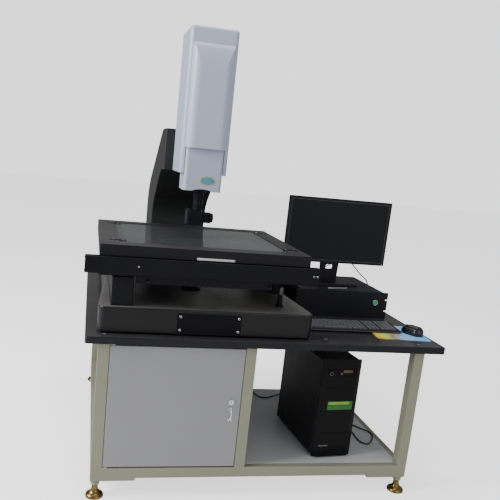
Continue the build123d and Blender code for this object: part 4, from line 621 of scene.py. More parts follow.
class Shape:
    """A mesh under construction, drawn in millimetres."""

    def __init__(self) -> None:
        """Starts empty."""
        self.mesh = bmesh.new()

    def lathe(self, profile: Sequence[tuple[float, float]], steps: int = 32, at: Matrix = Matrix(),
              closed: bool = False) -> "Shape":
        """Turns a profile about Z.

        Args:
            profile: Radius and height of each point, from axis to axis.
            steps: Segments round the axis.
            at: Where the turned form goes.
            closed: Whether the profile is a loop clear of the axis.

        Returns:
            The shape itself.
        """
        rings = []
        for radius, height in profile:
            if radius < 1e-7:
                rings.append([self.mesh.verts.new(at @ Vector((0.0, 0.0, height)))])
                continue
            ring = []
            for step in range(steps):
                angle = 2 * math.pi * step / steps
                spot = Vector((radius * math.cos(angle), radius * math.sin(angle), height))
                ring.append(self.mesh.verts.new(at @ spot))
            rings.append(ring)
        pairs = list(zip(rings, rings[1:]))
        if closed:
            pairs.append((rings[-1], rings[0]))
        for low, high in pairs:
            for step in range(steps):
                after = (step + 1) % steps
                face = [low[step % len(low)], low[after % len(low)],
                        high[after % len(high)], high[step % len(high)]]
                unique = list(dict.fromkeys(face))
                if len(unique) > 2:
                    self.mesh.faces.new(unique)
        return self

    def prism(self, outline: Sequence[tuple[float, float]], low: float, high: float, at: Matrix = Matrix(),
              round_edge: float = 0.0, segments: int = 3) -> "Shape":
        """Extrudes a flat outline, with its rims rounded where asked.

        Args:
            outline: Points of the outline, anticlockwise.
            low: Lower height.
            high: Upper height.
            at: Where the form goes.
            round_edge: Radius of the upper rim.
            segments: Segments of that radius.

        Returns:
            The shape itself.
        """
        made = bmesh.new()
        base = [made.verts.new((x, y, low)) for x, y in outline]
        cap = [made.verts.new((x, y, high)) for x, y in outline]
        made.faces.new(list(reversed(base)))
        top = made.faces.new(cap)
        count = len(outline)
        for index in range(count):
            after = (index + 1) % count
            made.faces.new([base[index], base[after], cap[after], cap[index]])
        if round_edge > 0:
            bmesh.ops.bevel(made, geom=list(top.edges), offset=round_edge, segments=segments, affect="EDGES",
                            profile=0.5)
        made.transform(at)
        self.absorb(made)
        return self

    def absorb(self, other: bmesh.types.BMesh) -> None:
        """Adds the faces of another mesh and frees it."""
        carrier = bpy.data.meshes.new("carrier")
        other.to_mesh(carrier)
        other.free()
        self.mesh.from_mesh(carrier)
        bpy.data.meshes.remove(carrier)

    def finish(self, name: str, material: bpy.types.Material, body: str, slot: str,
               smooth: float = 35.0) -> bpy.types.Object:
        """Makes the object and lets it ride on its body.

        Args:
            name: The piece's name.
            material: Its material.
            body: The CAD body that carries it.
            slot: The record's material slot; not used.
            smooth: Greatest angle in degrees that is shaded smooth.

        Returns:
            The new object.
        """
        self.mesh.transform(Matrix.Scale(MM, 4))
        bmesh.ops.recalc_face_normals(self.mesh, faces=self.mesh.faces)
        data = bpy.data.meshes.new(name)
        self.mesh.to_mesh(data)
        self.mesh.free()
        data.materials.append(material)
        data.shade_smooth()
        data.set_sharp_from_angle(angle=math.radians(smooth))
        piece = bpy.data.objects.new(name, data)
        bpy.context.scene.collection.objects.link(piece)
        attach(piece, body)
        log.info("made %s on %s", name, body)
        return piece


def rounded_outline(width: float, height: float, radius: float, steps: int = 5) -> list[tuple[float, float]]:
    """Outline of a rectangle with round corners, about its middle.

    Args:
        width: Size along X.
        height: Size along Y.
        radius: Corner radius.
        steps: Segments of each corner.

    Returns:
        The points, anticlockwise.
    """
    points = []
    corners = ((1, 1, 0), (-1, 1, 90), (-1, -1, 180), (1, -1, 270))
    for side, up, start in corners:
        cx = side * (width / 2 - radius)
        cy = up * (height / 2 - radius)
        for step in range(steps + 1):
            angle = math.radians(start + 90 * step / steps)
            points.append((cx + radius * math.cos(angle), cy + radius * math.sin(angle)))
    return points


def ring_outline(radius: float, steps: int = 24) -> list[tuple[float, float]]:
    """Points of a circle, anticlockwise."""
    return [(radius * math.cos(2 * math.pi * i / steps), radius * math.sin(2 * math.pi * i / steps))
            for i in range(steps)]


def place(x: float, y: float, z: float, turn: Turn = Turn.UP) -> Matrix:
    """Where a piece goes and which way it faces, in millimetres."""
    return Matrix.Translation((x, y, z)) @ turn.matrix()


def edges(node: str) -> tuple[Point, Point]:
    """Lowest and highest corner of a CAD node, in millimetres."""
    low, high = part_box(node)
    return tuple(value / MM for value in low), tuple(value / MM for value in high)


@dataclass
class Studio:
    """Camera, floor and lights.

    Attributes:
        position: Where the camera stands.
        yaw: Turn towards +X in radians.
        pitch: Tilt down in radians.
        roll: Turn about the line of sight in radians.
        focal: Focal length in pixels of the photograph.
        frame_size: Side of the photograph in pixels.
        centre: Optical centre in the photograph's pixels.
        room: Brightness of the surroundings behind the machine and before it.
        backdrop: Brightness of the backdrop that the camera sees.
        floor_glow: What the camera sees on top of the floor's own light.
    """

    position: Point = (-0.7781, -2.9836, 1.4427)
    yaw: float = 0.211
    pitch: float = 0.193
    roll: float = -0.098
    focal: float = 613.977
    frame_size: float = 500.0
    centre: tuple[float, float] = (214.609, 271.981)
    room: tuple[float, float] = (0.19, 0.5)
    backdrop: float = 1.8
    floor_glow: float = 1.35

    def build(self) -> None:
        """Makes the camera, the floor and the lights."""
        self._camera()
        self._floor()
        self._surroundings()
        self._lights()

    def _camera(self) -> None:
        """Sets the camera up as the photograph was taken."""
        data = bpy.data.cameras.new("camera")
        data.sensor_width = 36.0
        data.lens = self.focal * data.sensor_width / self.frame_size
        half = self.frame_size / 2
        data.shift_x = (half - self.centre[0]) / self.frame_size
        data.shift_y = (self.centre[1] - half) / self.frame_size
        data.clip_end = 50.0
        forward = Vector((math.sin(self.yaw) * math.cos(self.pitch),
                          math.cos(self.yaw) * math.cos(self.pitch), -math.sin(self.pitch)))
        level = Vector((math.cos(self.yaw), -math.sin(self.yaw), 0.0))
        down = forward.cross(level)
        right = math.cos(self.roll) * level + math.sin(self.roll) * down
        lower = -math.sin(self.roll) * level + math.cos(self.roll) * down
        matrix = Matrix((right, -lower, -forward)).transposed().to_4x4()
        matrix.translation = Vector(self.position)
        camera = bpy.data.objects.new("camera", data)
        camera.matrix_world = matrix
        bpy.context.scene.collection.objects.link(camera)
        bpy.context.scene.camera = camera

    def _floor(self) -> None:
        """Lays a plain pale floor."""
        mesh = bmesh.new()
        bmesh.ops.create_grid(mesh, x_segments=1, y_segments=1, size=20.0)
        data = bpy.data.meshes.new("floor")
        mesh.to_mesh(data)
        mesh.free()
        material = bpy.data.materials.new("floor_paper")
        material.use_nodes = True
        tree = material.node_tree
        shader = tree.nodes["Principled BSDF"]
        shader.inputs["Base Color"].default_value = (0.86, 0.86, 0.86, 1.0)
        shader.inputs["Roughness"].default_value = 0.9
        shader.inputs["Emission Color"].default_value = (1.0, 1.0, 1.0, 1.0)
        path = tree.nodes.new("ShaderNodeLightPath")
        glow = tree.nodes.new("ShaderNodeMath")
        glow.operation = "MULTIPLY"
        glow.inputs[1].default_value = self.floor_glow
        tree.links.new(path.outputs["Is Camera Ray"], glow.inputs[0])
        tree.links.new(glow.outputs[0], shader.inputs["Emission Strength"])
        data.materials.append(material)
        floor = bpy.data.objects.new("floor", data)
        floor.location = (0.0, 0.0, -0.0005)
        bpy.context.scene.collection.objects.link(floor)

    def _surroundings(self) -> None:
        """Sets pale surroundings that are dimmer behind the machine, and white where the camera sees them."""
        world = bpy.data.worlds.new("studio")
        world.use_nodes = True
        tree = world.node_tree
        background = tree.nodes["Background"]
        background.inputs["Color"].default_value = (1.0, 1.0, 1.0, 1.0)
        where = tree.nodes.new("ShaderNodeTexCoord")
        parts = tree.nodes.new("ShaderNodeSeparateXYZ")
        tree.links.new(where.outputs["Generated"], parts.inputs["Vector"])
        share = tree.nodes.new("ShaderNodeMapRange")
        share.inputs["From Min"].default_value = 1.0
        share.inputs["From Max"].default_value = -1.0
        share.inputs["To Min"].default_value = self.room[0]
        share.inputs["To Max"].default_value = self.room[1]
        tree.links.new(parts.outputs["Y"], share.inputs["Value"])
        path = tree.nodes.new("ShaderNodeLightPath")
        seen = tree.nodes.new("ShaderNodeMix")
        seen.inputs["B"].default_value = self.backdrop
        tree.links.new(path.outputs["Is Camera Ray"], seen.inputs["Factor"])
        tree.links.new(share.outputs["Result"], seen.inputs["A"])
        tree.links.new(seen.outputs["Result"], background.inputs["Strength"])
        bpy.context.scene.world = world

    def _lights(self) -> None:
        """Hangs three soft boxes."""
        self._soft_box("key_box", (-4.2, -1.0, 3.0), 2.2, 250.0)
        self._soft_box("fill_box", (1.6, -4.4, 2.6), 2.4, 26.0)
        self._soft_box("top_box", (0.0, 0.0, 4.4), 2.4, 70.0)

    def _soft_box(self, name: str, position: Point, size: float, power: float) -> None:
        """Hangs one soft box that points at the machine.

        Args:
            name: The light's name.
            position: Where it hangs.
            size: Its side.
            power: Its power in watts.
        """
        data = bpy.data.lights.new(name, "AREA")
        data.shape = "SQUARE"
        data.size = size
        data.energy = power
        light = bpy.data.objects.new(name, data)
        aim = Vector((0.0, 0.0, 0.9)) - Vector(position)
        light.rotation_euler = aim.to_track_quat("-Z", "Y").to_euler()
        light.location = position
        bpy.context.scene.collection.objects.link(light)


@dataclass
class Cords:
    """The three loose cords, with the routes of their CAD solids.

    Attributes:
        sheath: Diameter of the two power cords.
        thin_sheath: Diameter of the signal cord.
        hinge: Middle of the display's hinge.
        relief: Radius of the strain relief's ball.
        seat: Clearance of a cord from what it lies on.
        socket: Distance of the sockets' mouths from the bench's front edge.
        plug: Where the power cord enters its plug.
        tower: Middle of the tower's front at the shelf.
        tower_yaw: Turn of the tower in degrees.
        tower_back: Distance from the tower's front to its socket's mouth.
    """

    sheath: float = 6 * MM
    thin_sheath: float = 5 * MM
    hinge: Point = (0.445, -0.054, 1.08524)
    relief: float = 7 * MM
    seat: float = 0.3 * MM
    socket: float = 838 * MM
    plug: Point = (BENCH_LEFT + 0.966, BENCH_FRONT + 1.046, 0.012)
    tower: Point = (BENCH_LEFT + 1.125, BENCH_FRONT + 0.092, SHELF_TOP)
    tower_yaw: float = 5.0
    tower_back: float = 442 * MM

    def build(self, palette: Palette) -> None:
        start = self.hinge[2] - self.relief - self.seat
        x, y = self.hinge[:2]
        display = [(x + 0.085, y, start), (x + 0.085, y + 0.001, start - 0.036)]
        display += [self._bench(*at) for at in (
            (1303, 620, 302), (1318, 618, 266), (1342, 620, 238), (1376, 630, 207), (1414, 649, 177),
            (1447, 664, 156), (1472, 680, 130), (1482, 692, 98), (1486, 712, 64), (1487, 742, 36),
            (1485, 784, 21), (1478, 826, 18), (1460, 862, 22), (1434, 882, 30), (1410, 882, 42),
            (1398, 862, 52))]
        display.append((BENCH_LEFT + 1.398, BENCH_FRONT + self.socket, BENCH_HEIGHT + 0.052))
        self._cord("display_cord", "monitor_cord", display, self.sheath, 0.680, palette)
        signal = [(x + 0.066, y, start), (x + 0.066, y + 0.002, start - 0.034)]
        signal += [self._bench(*at) for at in (
            (1274, 630, 304), (1262, 641, 264), (1237, 646, 232), (1202, 645, 210), (1165, 652, 192),
            (1131, 680, 174), (1109, 722, 161), (1099, 770, 152), (1095, 816, 148), (1093, 852, 137),
            (1092, 876, 112), (1092, 884, 84), (1093, 862, 58))]
        signal.append((BENCH_LEFT + 1.093, BENCH_FRONT + self.socket, BENCH_HEIGHT + 0.058))
        self._cord("signal_lead", "signal_cord", signal, self.thin_sheath, 0.588, palette)
        self._power(palette)

    def _power(self, palette: Palette) -> None:
        """Lays the tower's power cord in its loop on the shelf and over the back rail to its plug."""
        back = self.tower_back
        route = [self._tower(0.040, back, 0.090), self._tower(0.040, back + 0.036, 0.090),
                 self._tower(0.050, back + 0.074, 0.068), self._tower(0.072, back + 0.104, 0.034)]
        lying = ((1182, 652), (1222, 626), (1254, 576), (1284, 510), (1312, 440), (1334, 374), (1336, 320),
                 (1331, 272), (1333, 231), (1361, 204), (1393, 236), (1419, 276), (1436, 318), (1419, 356),
                 (1385, 394), (1356, 452), (1332, 520), (1300, 590), (1252, 660), (1200, 725), (1150, 785),
                 (1099, 811), (1045, 770), (984, 742), (954, 790), (950, 840))
        resting = SHELF_TOP + self.sheath / 2 + self.seat - BENCH_HEIGHT
        route += [self._bench(across, deep, resting / MM) for across, deep in lying]
        hanging = ((948, 884, 146), (947, 918, 135), (947, 936, 100), (948, 946, 62), (951, 964, 27),
                   (957, 992, 11))
        route += [self._bench(across, deep, high - BENCH_HEIGHT / MM) for across, deep, high in hanging]
        route += [(self.plug[0], self.plug[1] - 0.026, self.plug[2]), self.plug]
        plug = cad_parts["power_plug"]
        self._cord("mains_cord", "power_cord", route, self.sheath, 1.924, palette, far_end="plug",
                   carried=[plug])

    @staticmethod
    def _bench(x: float, y: float, z: float) -> Point:
        """A point in millimetres from the bench's left edge, front edge and top."""
        return (BENCH_LEFT + x * MM, BENCH_FRONT + y * MM, BENCH_HEIGHT + z * MM)

    def _tower(self, x: float, y: float, z: float) -> Point:
        """A point in metres from the middle of the tower's front, turned with the tower."""
        turn = math.radians(self.tower_yaw)
        return (self.tower[0] + x * math.cos(turn) - y * math.sin(turn),
                self.tower[1] + x * math.sin(turn) + y * math.cos(turn), self.tower[2] + z)

    @staticmethod
    def _cord(name: str, node: str, route: Sequence[Point], diameter: float, length: float, palette: Palette,
              far_end: str = "object", carried: Iterable[bpy.types.Object] = ()) -> None:
        """Makes one cord as a smooth curve.

        Args:
            name: The piece's name.
            node: The CAD node that it stands for.
            route: Its control points.
            diameter: Diameter of its sheath.
            length: Its real length; not used.
            palette: The materials.
            far_end: What is on its far end; not used.
            carried: Pieces on the cord; not used.
        """
        data = bpy.data.curves.new(name, "CURVE")
        data.dimensions = "3D"
        data.bevel_depth = diameter / 2
        data.bevel_resolution = 4
        data.resolution_u = 8
        data.use_fill_caps = True
        spline = data.splines.new("NURBS")
        spline.points.add(len(route) - 1)
        for point, at in zip(spline.points, route):
            point.co = (*at, 1.0)
        spline.order_u = 3
        spline.use_endpoint_u = True
        data.materials.append(palette["cord_sheath"])
        piece = bpy.data.objects.new(name, data)
        bpy.context.scene.collection.objects.link(piece)
        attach(piece, ROOT)
        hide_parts(node)
        log.info("laid %s", name)


def knurl_outline(radius: float, depth: float, teeth: int) -> list[tuple[float, float]]:
    """Points of a ribbed ring, anticlockwise.

    Args:
        radius: Outer radius.
        depth: Depth of the grooves between the ribs.
        teeth: How many ribs.

    Returns:
        The points.
    """
    points = []
    for index in range(teeth * 4):
        angle = 2 * math.pi * index / (teeth * 4)
        reach = radius if index % 4 < 2 else radius - depth
        points.append((reach * math.cos(angle), reach * math.sin(angle)))
    return points


def corners(x0: float, x1: float, z0: float, z1: float) -> list[tuple[float, float]]:
    """The four corners of a rectangle."""
    return [(x0, z0), (x1, z0), (x0, z1), (x1, z1)]


@dataclass
class Assembly:
    """A sub-assembly that adds its small pieces to the CAD nodes.

    Attributes:
        palette: The materials.
    """

    palette: Palette

    def screws(self, name: str, spots: Iterable[Matrix], radius: float, body: str = ROOT,
               finish: str = "zinc_screw") -> None:
        """Makes socket-head screws.

        Args:
            name: The piece's name.
            spots: Where each head sits.
            radius: Radius of the heads.
            body: The CAD body that carries them.
            finish: Their finish.
        """
        head = [(0.0, -0.3), (radius, -0.3), (radius, radius * 0.45), (radius * 0.86, radius * 0.62),
                (radius * 0.5, radius * 0.62), (radius * 0.46, radius * 0.2), (0.0, radius * 0.16)]
        shape = Shape()
        for at in spots:
            shape.lathe(head, 16, at)
        shape.finish(name, self.palette[finish], body, "steel")

    def plates(self, name: str, spots: Iterable[Matrix], size: tuple[float, float], corner: float,
               thick: float, finish: str, slot: str, body: str = ROOT) -> None:
        """Makes thin plates, labels or slots with round corners and a soft rim.

        Args:
            name: The piece's name.
            spots: Where the middle of each back face sits.
            size: Width and height.
            corner: Corner radius.
            thick: Thickness.
            finish: Their finish.
            slot: The record's material slot; passed on to Shape.finish, which does not use it.
            body: The CAD body that carries them.
        """
        shape = Shape()
        for at in spots:
            shape.prism(rounded_outline(*size, corner), -0.2, thick, at, min(thick * 0.4, corner * 0.5), 2)
        shape.finish(name, self.palette[finish], body, slot)

    def turned(self, name: str, spots: Iterable[Matrix], profile: Sequence[tuple[float, float]], finish: str,
               slot: str, body: str = ROOT, closed: bool = False, steps: int = 28) -> None:
        """Makes turned pieces.

        Args:
            name: The piece's name.
            spots: Where each one sits.
            profile: Radius and height of each point.
            finish: Their finish.
            slot: The record's material slot; passed on to Shape.finish, which does not use it.
            body: The CAD body that carries them.
            closed: Whether the profile is a loop clear of the axis.
            steps: Segments round the axis.
        """
        shape = Shape()
        for at in spots:
            shape.lathe(profile, steps, at, closed)
        shape.finish(name, self.palette[finish], body, slot)

    def grille(self, name: str, at: Matrix, radius: float, slot: str) -> None:
        """Makes a fan's finger guard: rings and four spokes before a dark opening.

        Args:
            name: The piece's name.
            at: Where its middle sits.
            radius: Radius of the outer ring.
            slot: The record's material slot; passed on to Shape.finish, which does not use it.
        """
        # Painted shade: a dark disc behind the guard stands in for the shade inside the fan's opening.
        self.turned(name + "_dark", [at], [(0.0, -0.2), (radius, -0.2), (radius - 0.4, 0.3), (0.0, 0.3)],
                    "recess_black", slot)
        shape = Shape()
        rings = 4
        for index in range(1, rings + 1):
            middle = radius * index / rings - 1.0
            wire = [(middle + 0.9 * math.cos(a), 2.2 + 0.9 * math.sin(a))
                    for a in (math.radians(step * 60) for step in range(6))]
            shape.lathe(wire, 32, at, True)
        for quarter in range(4):
            turn = Matrix.Rotation(math.radians(45 + 90 * quarter), 4, "Z")
            spoke = at @ turn @ Matrix.Translation((radius / 2, 0, 0))
            shape.prism(rounded_outline(radius, 1.8, 0.8), 0.4, 1.6, spoke, 0.4, 2)
        shape.finish(name, self.palette["zinc_screw"], ROOT, slot)

    def sleeve(self, name: str, at: Matrix, length: float, wide: float, narrow: float) -> None:
        """Makes the tapered, ribbed strain relief of a lead.

        Args:
            name: The piece's name.
            at: Where its thick end sits.
            length: Its length.
            wide: Radius at the thick end.
            narrow: Radius at the thin end.
        """
        profile = [(0.0, -0.5), (wide, -0.5), (wide, length * 0.18)]
        ribs = 6
        for rib in range(ribs):
            low = length * (0.22 + 0.76 * rib / ribs)
            high = length * (0.22 + 0.76 * (rib + 0.62) / ribs)
            reach = wide + (narrow - wide) * (rib + 1) / ribs
            profile += [(reach - 0.7, low), (reach, low + 0.5), (reach, high), (reach - 0.7, high + 0.4)]
        profile += [(narrow - 0.3, length), (0.0, length)]
        self.turned(name, [at], profile, "cord_sheath", "cord_black")


@dataclass
class Bench(Assembly):
    """The steel bench, its cabinet and its door.

    Attributes:
        top: Height of the bench top.
        bolt_spots: X and Y of the caps on the bench top.
        louvres: How many louvres a vent has.
        key_slot: Width and height of the lock's key slot.
    """

    top: float = BENCH_HEIGHT / MM
    bolt_spots: tuple[tuple[float, float], ...] = ((670.5, -632.5), (248.0, -600.0), (-691.5, -632.5),
                                                   (670.5, 642.5), (-691.5, 642.5))
    louvres: int = 7
    key_slot: tuple[float, float] = (1.8, 7.5)

    def build(self) -> None:
        """Adds the bolt caps, the louvres, the key slot and the roses of the door's handle."""
        cap = [(0.0, -0.2), (7.5, -0.2), (7.5, 0.5), (6.4, 1.4), (3.0, 1.9), (0.0, 2.0)]
        caps = [place(x, y, self.top) for x, y in self.bolt_spots]
        self.turned("bench_bolt_caps", caps, cap, "cap_grey", "steel")
        self._louvres()
        # Painted shade: a black plate stands in for the shade inside the key slot.
        self.plates("lock_key_slot", [place(-155.0, -661.0, 430.0, Turn.FRONT)], self.key_slot, 0.8, 0.25,
                    "recess_black", "chrome", "lock")
        heels = [place(-155.0, -655.0, z, Turn.FRONT) for z in (351.0, 397.0)]
        rose = [(0.0, -0.2), (7.6, -0.2), (7.6, 0.6), (6.4, 1.5), (0.0, 1.7)]
        self.turned("door_handle_roses", heels, rose, "bright_chrome", "chrome", "door")

    def _louvres(self) -> None:
        """Presses two rows of louvres into the cabinet's left side and its back."""
        low, high = edges("cabinet_panels")
        shape = Shape()
        pitch = 24.0
        for index in range(self.louvres):
            z = 520.0 - pitch * index
            for y in (-380.0, -120.0):
                self._louvre(shape, place(low[0], y, z, Turn.LEFT))
            for x in (-520.0, -270.0):
                self._louvre(shape, place(x, high[1], z, Turn.BACK))
        shape.finish("cabinet_louvres", self.palette["door_powder"], ROOT, "door_paint")

    @staticmethod
    def _louvre(shape: Shape, at: Matrix) -> None:
        """Adds one louvre: a hood that is open along its lower edge."""
        along_x = Matrix(((0, 0, 1, 0), (1, 0, 0, 0), (0, 1, 0, 0), (0, 0, 0, 1)))
        hood = [(-5.0, -0.2), (6.0, -0.2), (5.0, 0.8), (-4.2, 4.6), (-5.0, 4.2)]
        shape.prism(hood, -70.0, 70.0, at @ along_x)


@dataclass
class Machine(Assembly):
    """The measuring machine: base, saddle, bar, stage, column and head.

    Attributes:
        deck: Height of the base's top.
        bar_front: Y of the bar's front.
        apron_front: Y of the apron's front.
        stage_top: Height of the stage's top.
        stage_front: Y of the stage's front.
        clip_thickness: Thickness of the glass clips.
        column_back: Y of the column's back.
        column_plate: Thickness of the column's cover.
        head_sides: X of the head's left and right side.
        head_back: Y of the head's back.
        head_plate: Thickness of the head's rear panel.
        bar_screws: X of the three screws on the bar's front.
        access_corners: Left, right, low and high screws of the access plate.
        clips: Middle of each glass clip.
        head_screws: Height of the screws on the head's sides.
        badge: Middle of the bare badge on the moving cover.
        optic: X and Y of the optical axis.
    """

    deck: float = 811.0
    bar_front: float = -645.0
    apron_front: float = -608.0
    stage_top: float = 1058.0
    stage_front: float = -630.0
    clip_thickness: float = 1.8
    column_back: float = 633.0
    column_plate: float = 1.8
    head_sides: tuple[float, float] = (-406.0, -196.0)
    head_back: float = -70.0
    head_plate: float = 1.6
    bar_screws: tuple[float, ...] = (-577.0, 142.0, 157.0)
    access_corners: tuple[float, float, float, float] = (-393.7, -151.7, 725.5, 781.5)
    clips: tuple[tuple[float, float], ...] = ((-656.0, -507.0), (75.0, -490.0), (-656.0, 0.0), (75.0, 0.0))
    head_screws: tuple[float, ...] = (1613.0, 1802.0)
    badge: tuple[float, float] = (-282.0, 1314.0)
    optic: tuple[float, float] = (-301.0, -256.0)

    def build(self) -> None:
        """Adds the fittings of each part of the machine."""
        self._base()
        self._saddle()
        self._stage()
        self._column()
        self._head()
        self._optics()

    def _base(self) -> None:
        """Access-plate screws, drive-cover screws and the travel stop beside the right rail."""
        x0, x1, z0, z1 = self.access_corners
        access = [place(x, -629.0, z, Turn.FRONT) for x, z in corners(x0, x1, z0, z1)]
        self.screws("access_screws", access, 5.4)
        sides = [place(-674.0, y, z, Turn.LEFT) for y, z in corners(-592.0, -536.0, 826.0, 906.0)]
        self.screws("drive_cover_screws", sides, 3.2, finish="dark_screw")
        stop = place(53.0, -505.0, self.deck)
        shape = Shape()
        shape.prism(rounded_outline(19.0, 16.0, 2.0), 0.0, 88.0, stop, 1.5, 2)
        shape.prism(rounded_outline(28.0, 26.0, 3.0), -0.2, 7.0, stop, 1.5, 2)
        shape.finish("travel_stop", self.palette["black_powder"], ROOT, "black_paint")
        self.plates("travel_stop_face", [place(53.0, -513.0, 881.0, Turn.FRONT)], (16.0, 33.0), 1.5, 1.2,
                    "edge_grey", "steel")
        feet = [place(x, 317.0, self.deck) for x in (-380.0, -222.0)]
        bolt = [(0.0, -0.2), (9.0, -0.2), (9.0, 6.0), (8.2, 7.0), (4.4, 7.0), (4.0, 3.0), (0.0, 2.8)]
        self.turned("column_bolts", feet, bolt, "dark_screw", "steel")

    def _saddle(self) -> None:
        """Screws on the bar's front and end plates, and the buffers on the apron."""
        fronts = [place(x, self.bar_front, 978.0, Turn.FRONT) for x in self.bar_screws]
        self.screws("bar_front_screws", fronts, 3.9, "saddle")
        ends = []
        for x, turn in ((-783.0, Turn.LEFT), (167.0, Turn.RIGHT)):
            ends += [place(x, y, z, turn) for y, z in corners(-638.0, -617.0, 952.0, 1004.0)]
        self.screws("bar_end_screws", ends, 2.6, "saddle", "dark_screw")
        buffers = [place(x, self.apron_front, 915.0, Turn.FRONT) for x in (-532.0, -30.0)]
        knob = [(0.0, -0.2), (7.0, -0.2), (7.0, 6.0), (6.0, 8.5), (3.4, 10.0), (0.0, 10.4)]
        self.turned("apron_buffers", buffers, knob, "pad_rubber", "rubber", "saddle", steps=20)
        lugs = [place(x, self.apron_front, 917.0, Turn.FRONT)
                for x in (-470.0, -385.0, -301.0, -217.0, -132.0)]
        self.screws("apron_screws", lugs, 3.2, "saddle", "dark_screw")

    def _stage(self) -> None:
        """Glass clips with their screws, the bare strip and small screws on the stage's front."""
        clips = [place(x, y, self.stage_top) for x, y in self.clips]
        self.plates("glass_clips", clips, (66.0, 13.0), 2.5, self.clip_thickness, "black_anodising",
                    "black_anodised", "stage")
        ends = [place(x + side, y, self.stage_top + self.clip_thickness)
                for x, y in self.clips for side in (-19.0, 19.0)]
        self.screws("glass_clip_screws", ends, 2.9, "stage")
        strip = place(-272.0, self.stage_front, 1020.5, Turn.FRONT)
        self.plates("stage_front_strip", [strip], (154.0, 9.0), 1.0, 0.4, "label_white", "stage_paint", "stage")
        holes = [place(x, self.stage_front, 1022.0, Turn.FRONT) for x in (-484.0, -60.0)]
        self.screws("stage_front_screws", holes, 2.4, "stage", "dark_screw")

    def _column(self) -> None:
        """Cover plate, its screws and the cable glands on the column's back."""
        x0, height = self.optic[0], 1010.0
        middle = place(x0, self.column_back, height, Turn.BACK)
        self.plates("column_cover", [middle], (190.0, 250.0), 8.0, self.column_plate, "column_powder",
                    "black_paint")
        spots = [place(x0 + x, self.column_back + self.column_plate, height + z, Turn.BACK)
                 for x, z in corners(-86.0, 86.0, -116.0, 116.0) + [(-86.0, 0.0), (86.0, 0.0)]]
        self.screws("column_cover_screws", spots, 3.4, finish="dark_screw")
        gland = [(0.0, -0.2), (13.0, -0.2), (13.0, 6.0), (11.0, 6.4), (11.0, 11.0), (9.6, 14.0),
                 (7.0, 16.0), (0.0, 16.4)]
        glands = [place(x0 + x, self.column_back, 850.0, Turn.BACK) for x in (-40.0, 0.0, 40.0)]
        self.turned("column_glands", glands, gland, "black_moulding", "black_plastic", steps=20)

    def _head(self) -> None:
        """Side screws, the rear panel with its vents, and the bare badge."""
        sides = [place(x, -96.0, z, turn) for x, turn in zip(self.head_sides, (Turn.LEFT, Turn.RIGHT))
                 for z in self.head_screws]
        self.screws("head_side_screws", sides, 3.4)
        x, height = self.optic[0], 1735.0
        outside = self.head_back + self.head_plate
        self.plates("head_rear_panel", [place(x, self.head_back, height, Turn.BACK)], (164.0, 350.0), 8.0,
                    self.head_plate, "head_enamel", "white_paint")
        self.screws("head_rear_screws", [place(x + a, outside, height + b, Turn.BACK)
                                         for a, b in corners(-74.0, 74.0, -166.0, 166.0)], 3.2)
        vents = [place(x + side, outside, 1850.0 - 9.0 * row, Turn.BACK)
                 for row in range(9) for side in (-33.0, 33.0)]
        # Painted shade: black strips stand in for the shade inside the vent slots.
        self.plates("head_rear_vents", vents, (52.0, 3.6), 1.7, 0.25, "recess_black", "white_paint")
        at = place(self.badge[0], -332.0, self.badge[1], Turn.FRONT)
        for name, reach, thick in (("badge_rim", 1.0, 1.0), ("badge_face", 0.84, 1.3)):
            outline = [(36.0 * reach * math.cos(a), 19.0 * reach * math.sin(a))
                       for a in (2 * math.pi * step / 40 for step in range(40))]
            oval = Shape().prism(outline, -0.2, thick, at, 0.35, 2)
            oval.finish(name, self.palette[name], "head_slide", "white_paint")

    def _optics(self) -> None:
        """Ribbed rings on the lens, and the lamps and screws of the ring light."""
        x, y = self.optic
        shape = Shape()
        for low, tall, radius in ((1188.0, 14.0, 22.8), (1226.0, 20.0, 23.6)):
            shape.prism(knurl_outline(radius, 0.8, 30), low, low + tall, place(x, y, 0.0), 0.3, 1)
        shape.finish("lens_rings", self.palette["black_anodising"], "head_slide", "black_anodised")
        mark = [(21.0, 1209.0), (21.5, 1209.2), (21.5, 1211.6), (21.0, 1211.8)]
        self.turned("lens_index_ring", [place(x, y, 0.0)], mark, "dark_screw", "steel", "head_slide", True)
        lamp = [(0.0, -1.2), (1.3, -1.2), (1.7, -0.4), (1.7, 0.5), (1.1, 1.3), (0.0, 1.6)]
        lamps = []
        for index in range(24):
            angle = 2 * math.pi * index / 24
            lean = Matrix.Rotation(angle, 4, "Z") @ Matrix.Rotation(math.radians(-112), 4, "Y")
            spot = (x + 24.0 * math.cos(angle), y + 24.0 * math.sin(angle), 1116.6)
            lamps.append(Matrix.Translation(spot) @ lean)
        self.turned("ring_lamps", lamps, lamp, "lamp_white", "black_anodised", "head_slide", steps=12)
        low = edges("ring_light")[0]
        tops = [place(a, b, 1178.0) for a, b in corners(-341.0, -285.0, y - 28.0, y + 28.0)]
        self.screws("ring_light_screws", tops, 2.3, "head_slide")
        fronts = [place(a, low[1], b, Turn.FRONT) for a, b in corners(-340.0, -286.0, 1124.0, 1168.0)]
        self.screws("ring_light_front_screws", fronts, 2.0, "head_slide", "dark_screw")


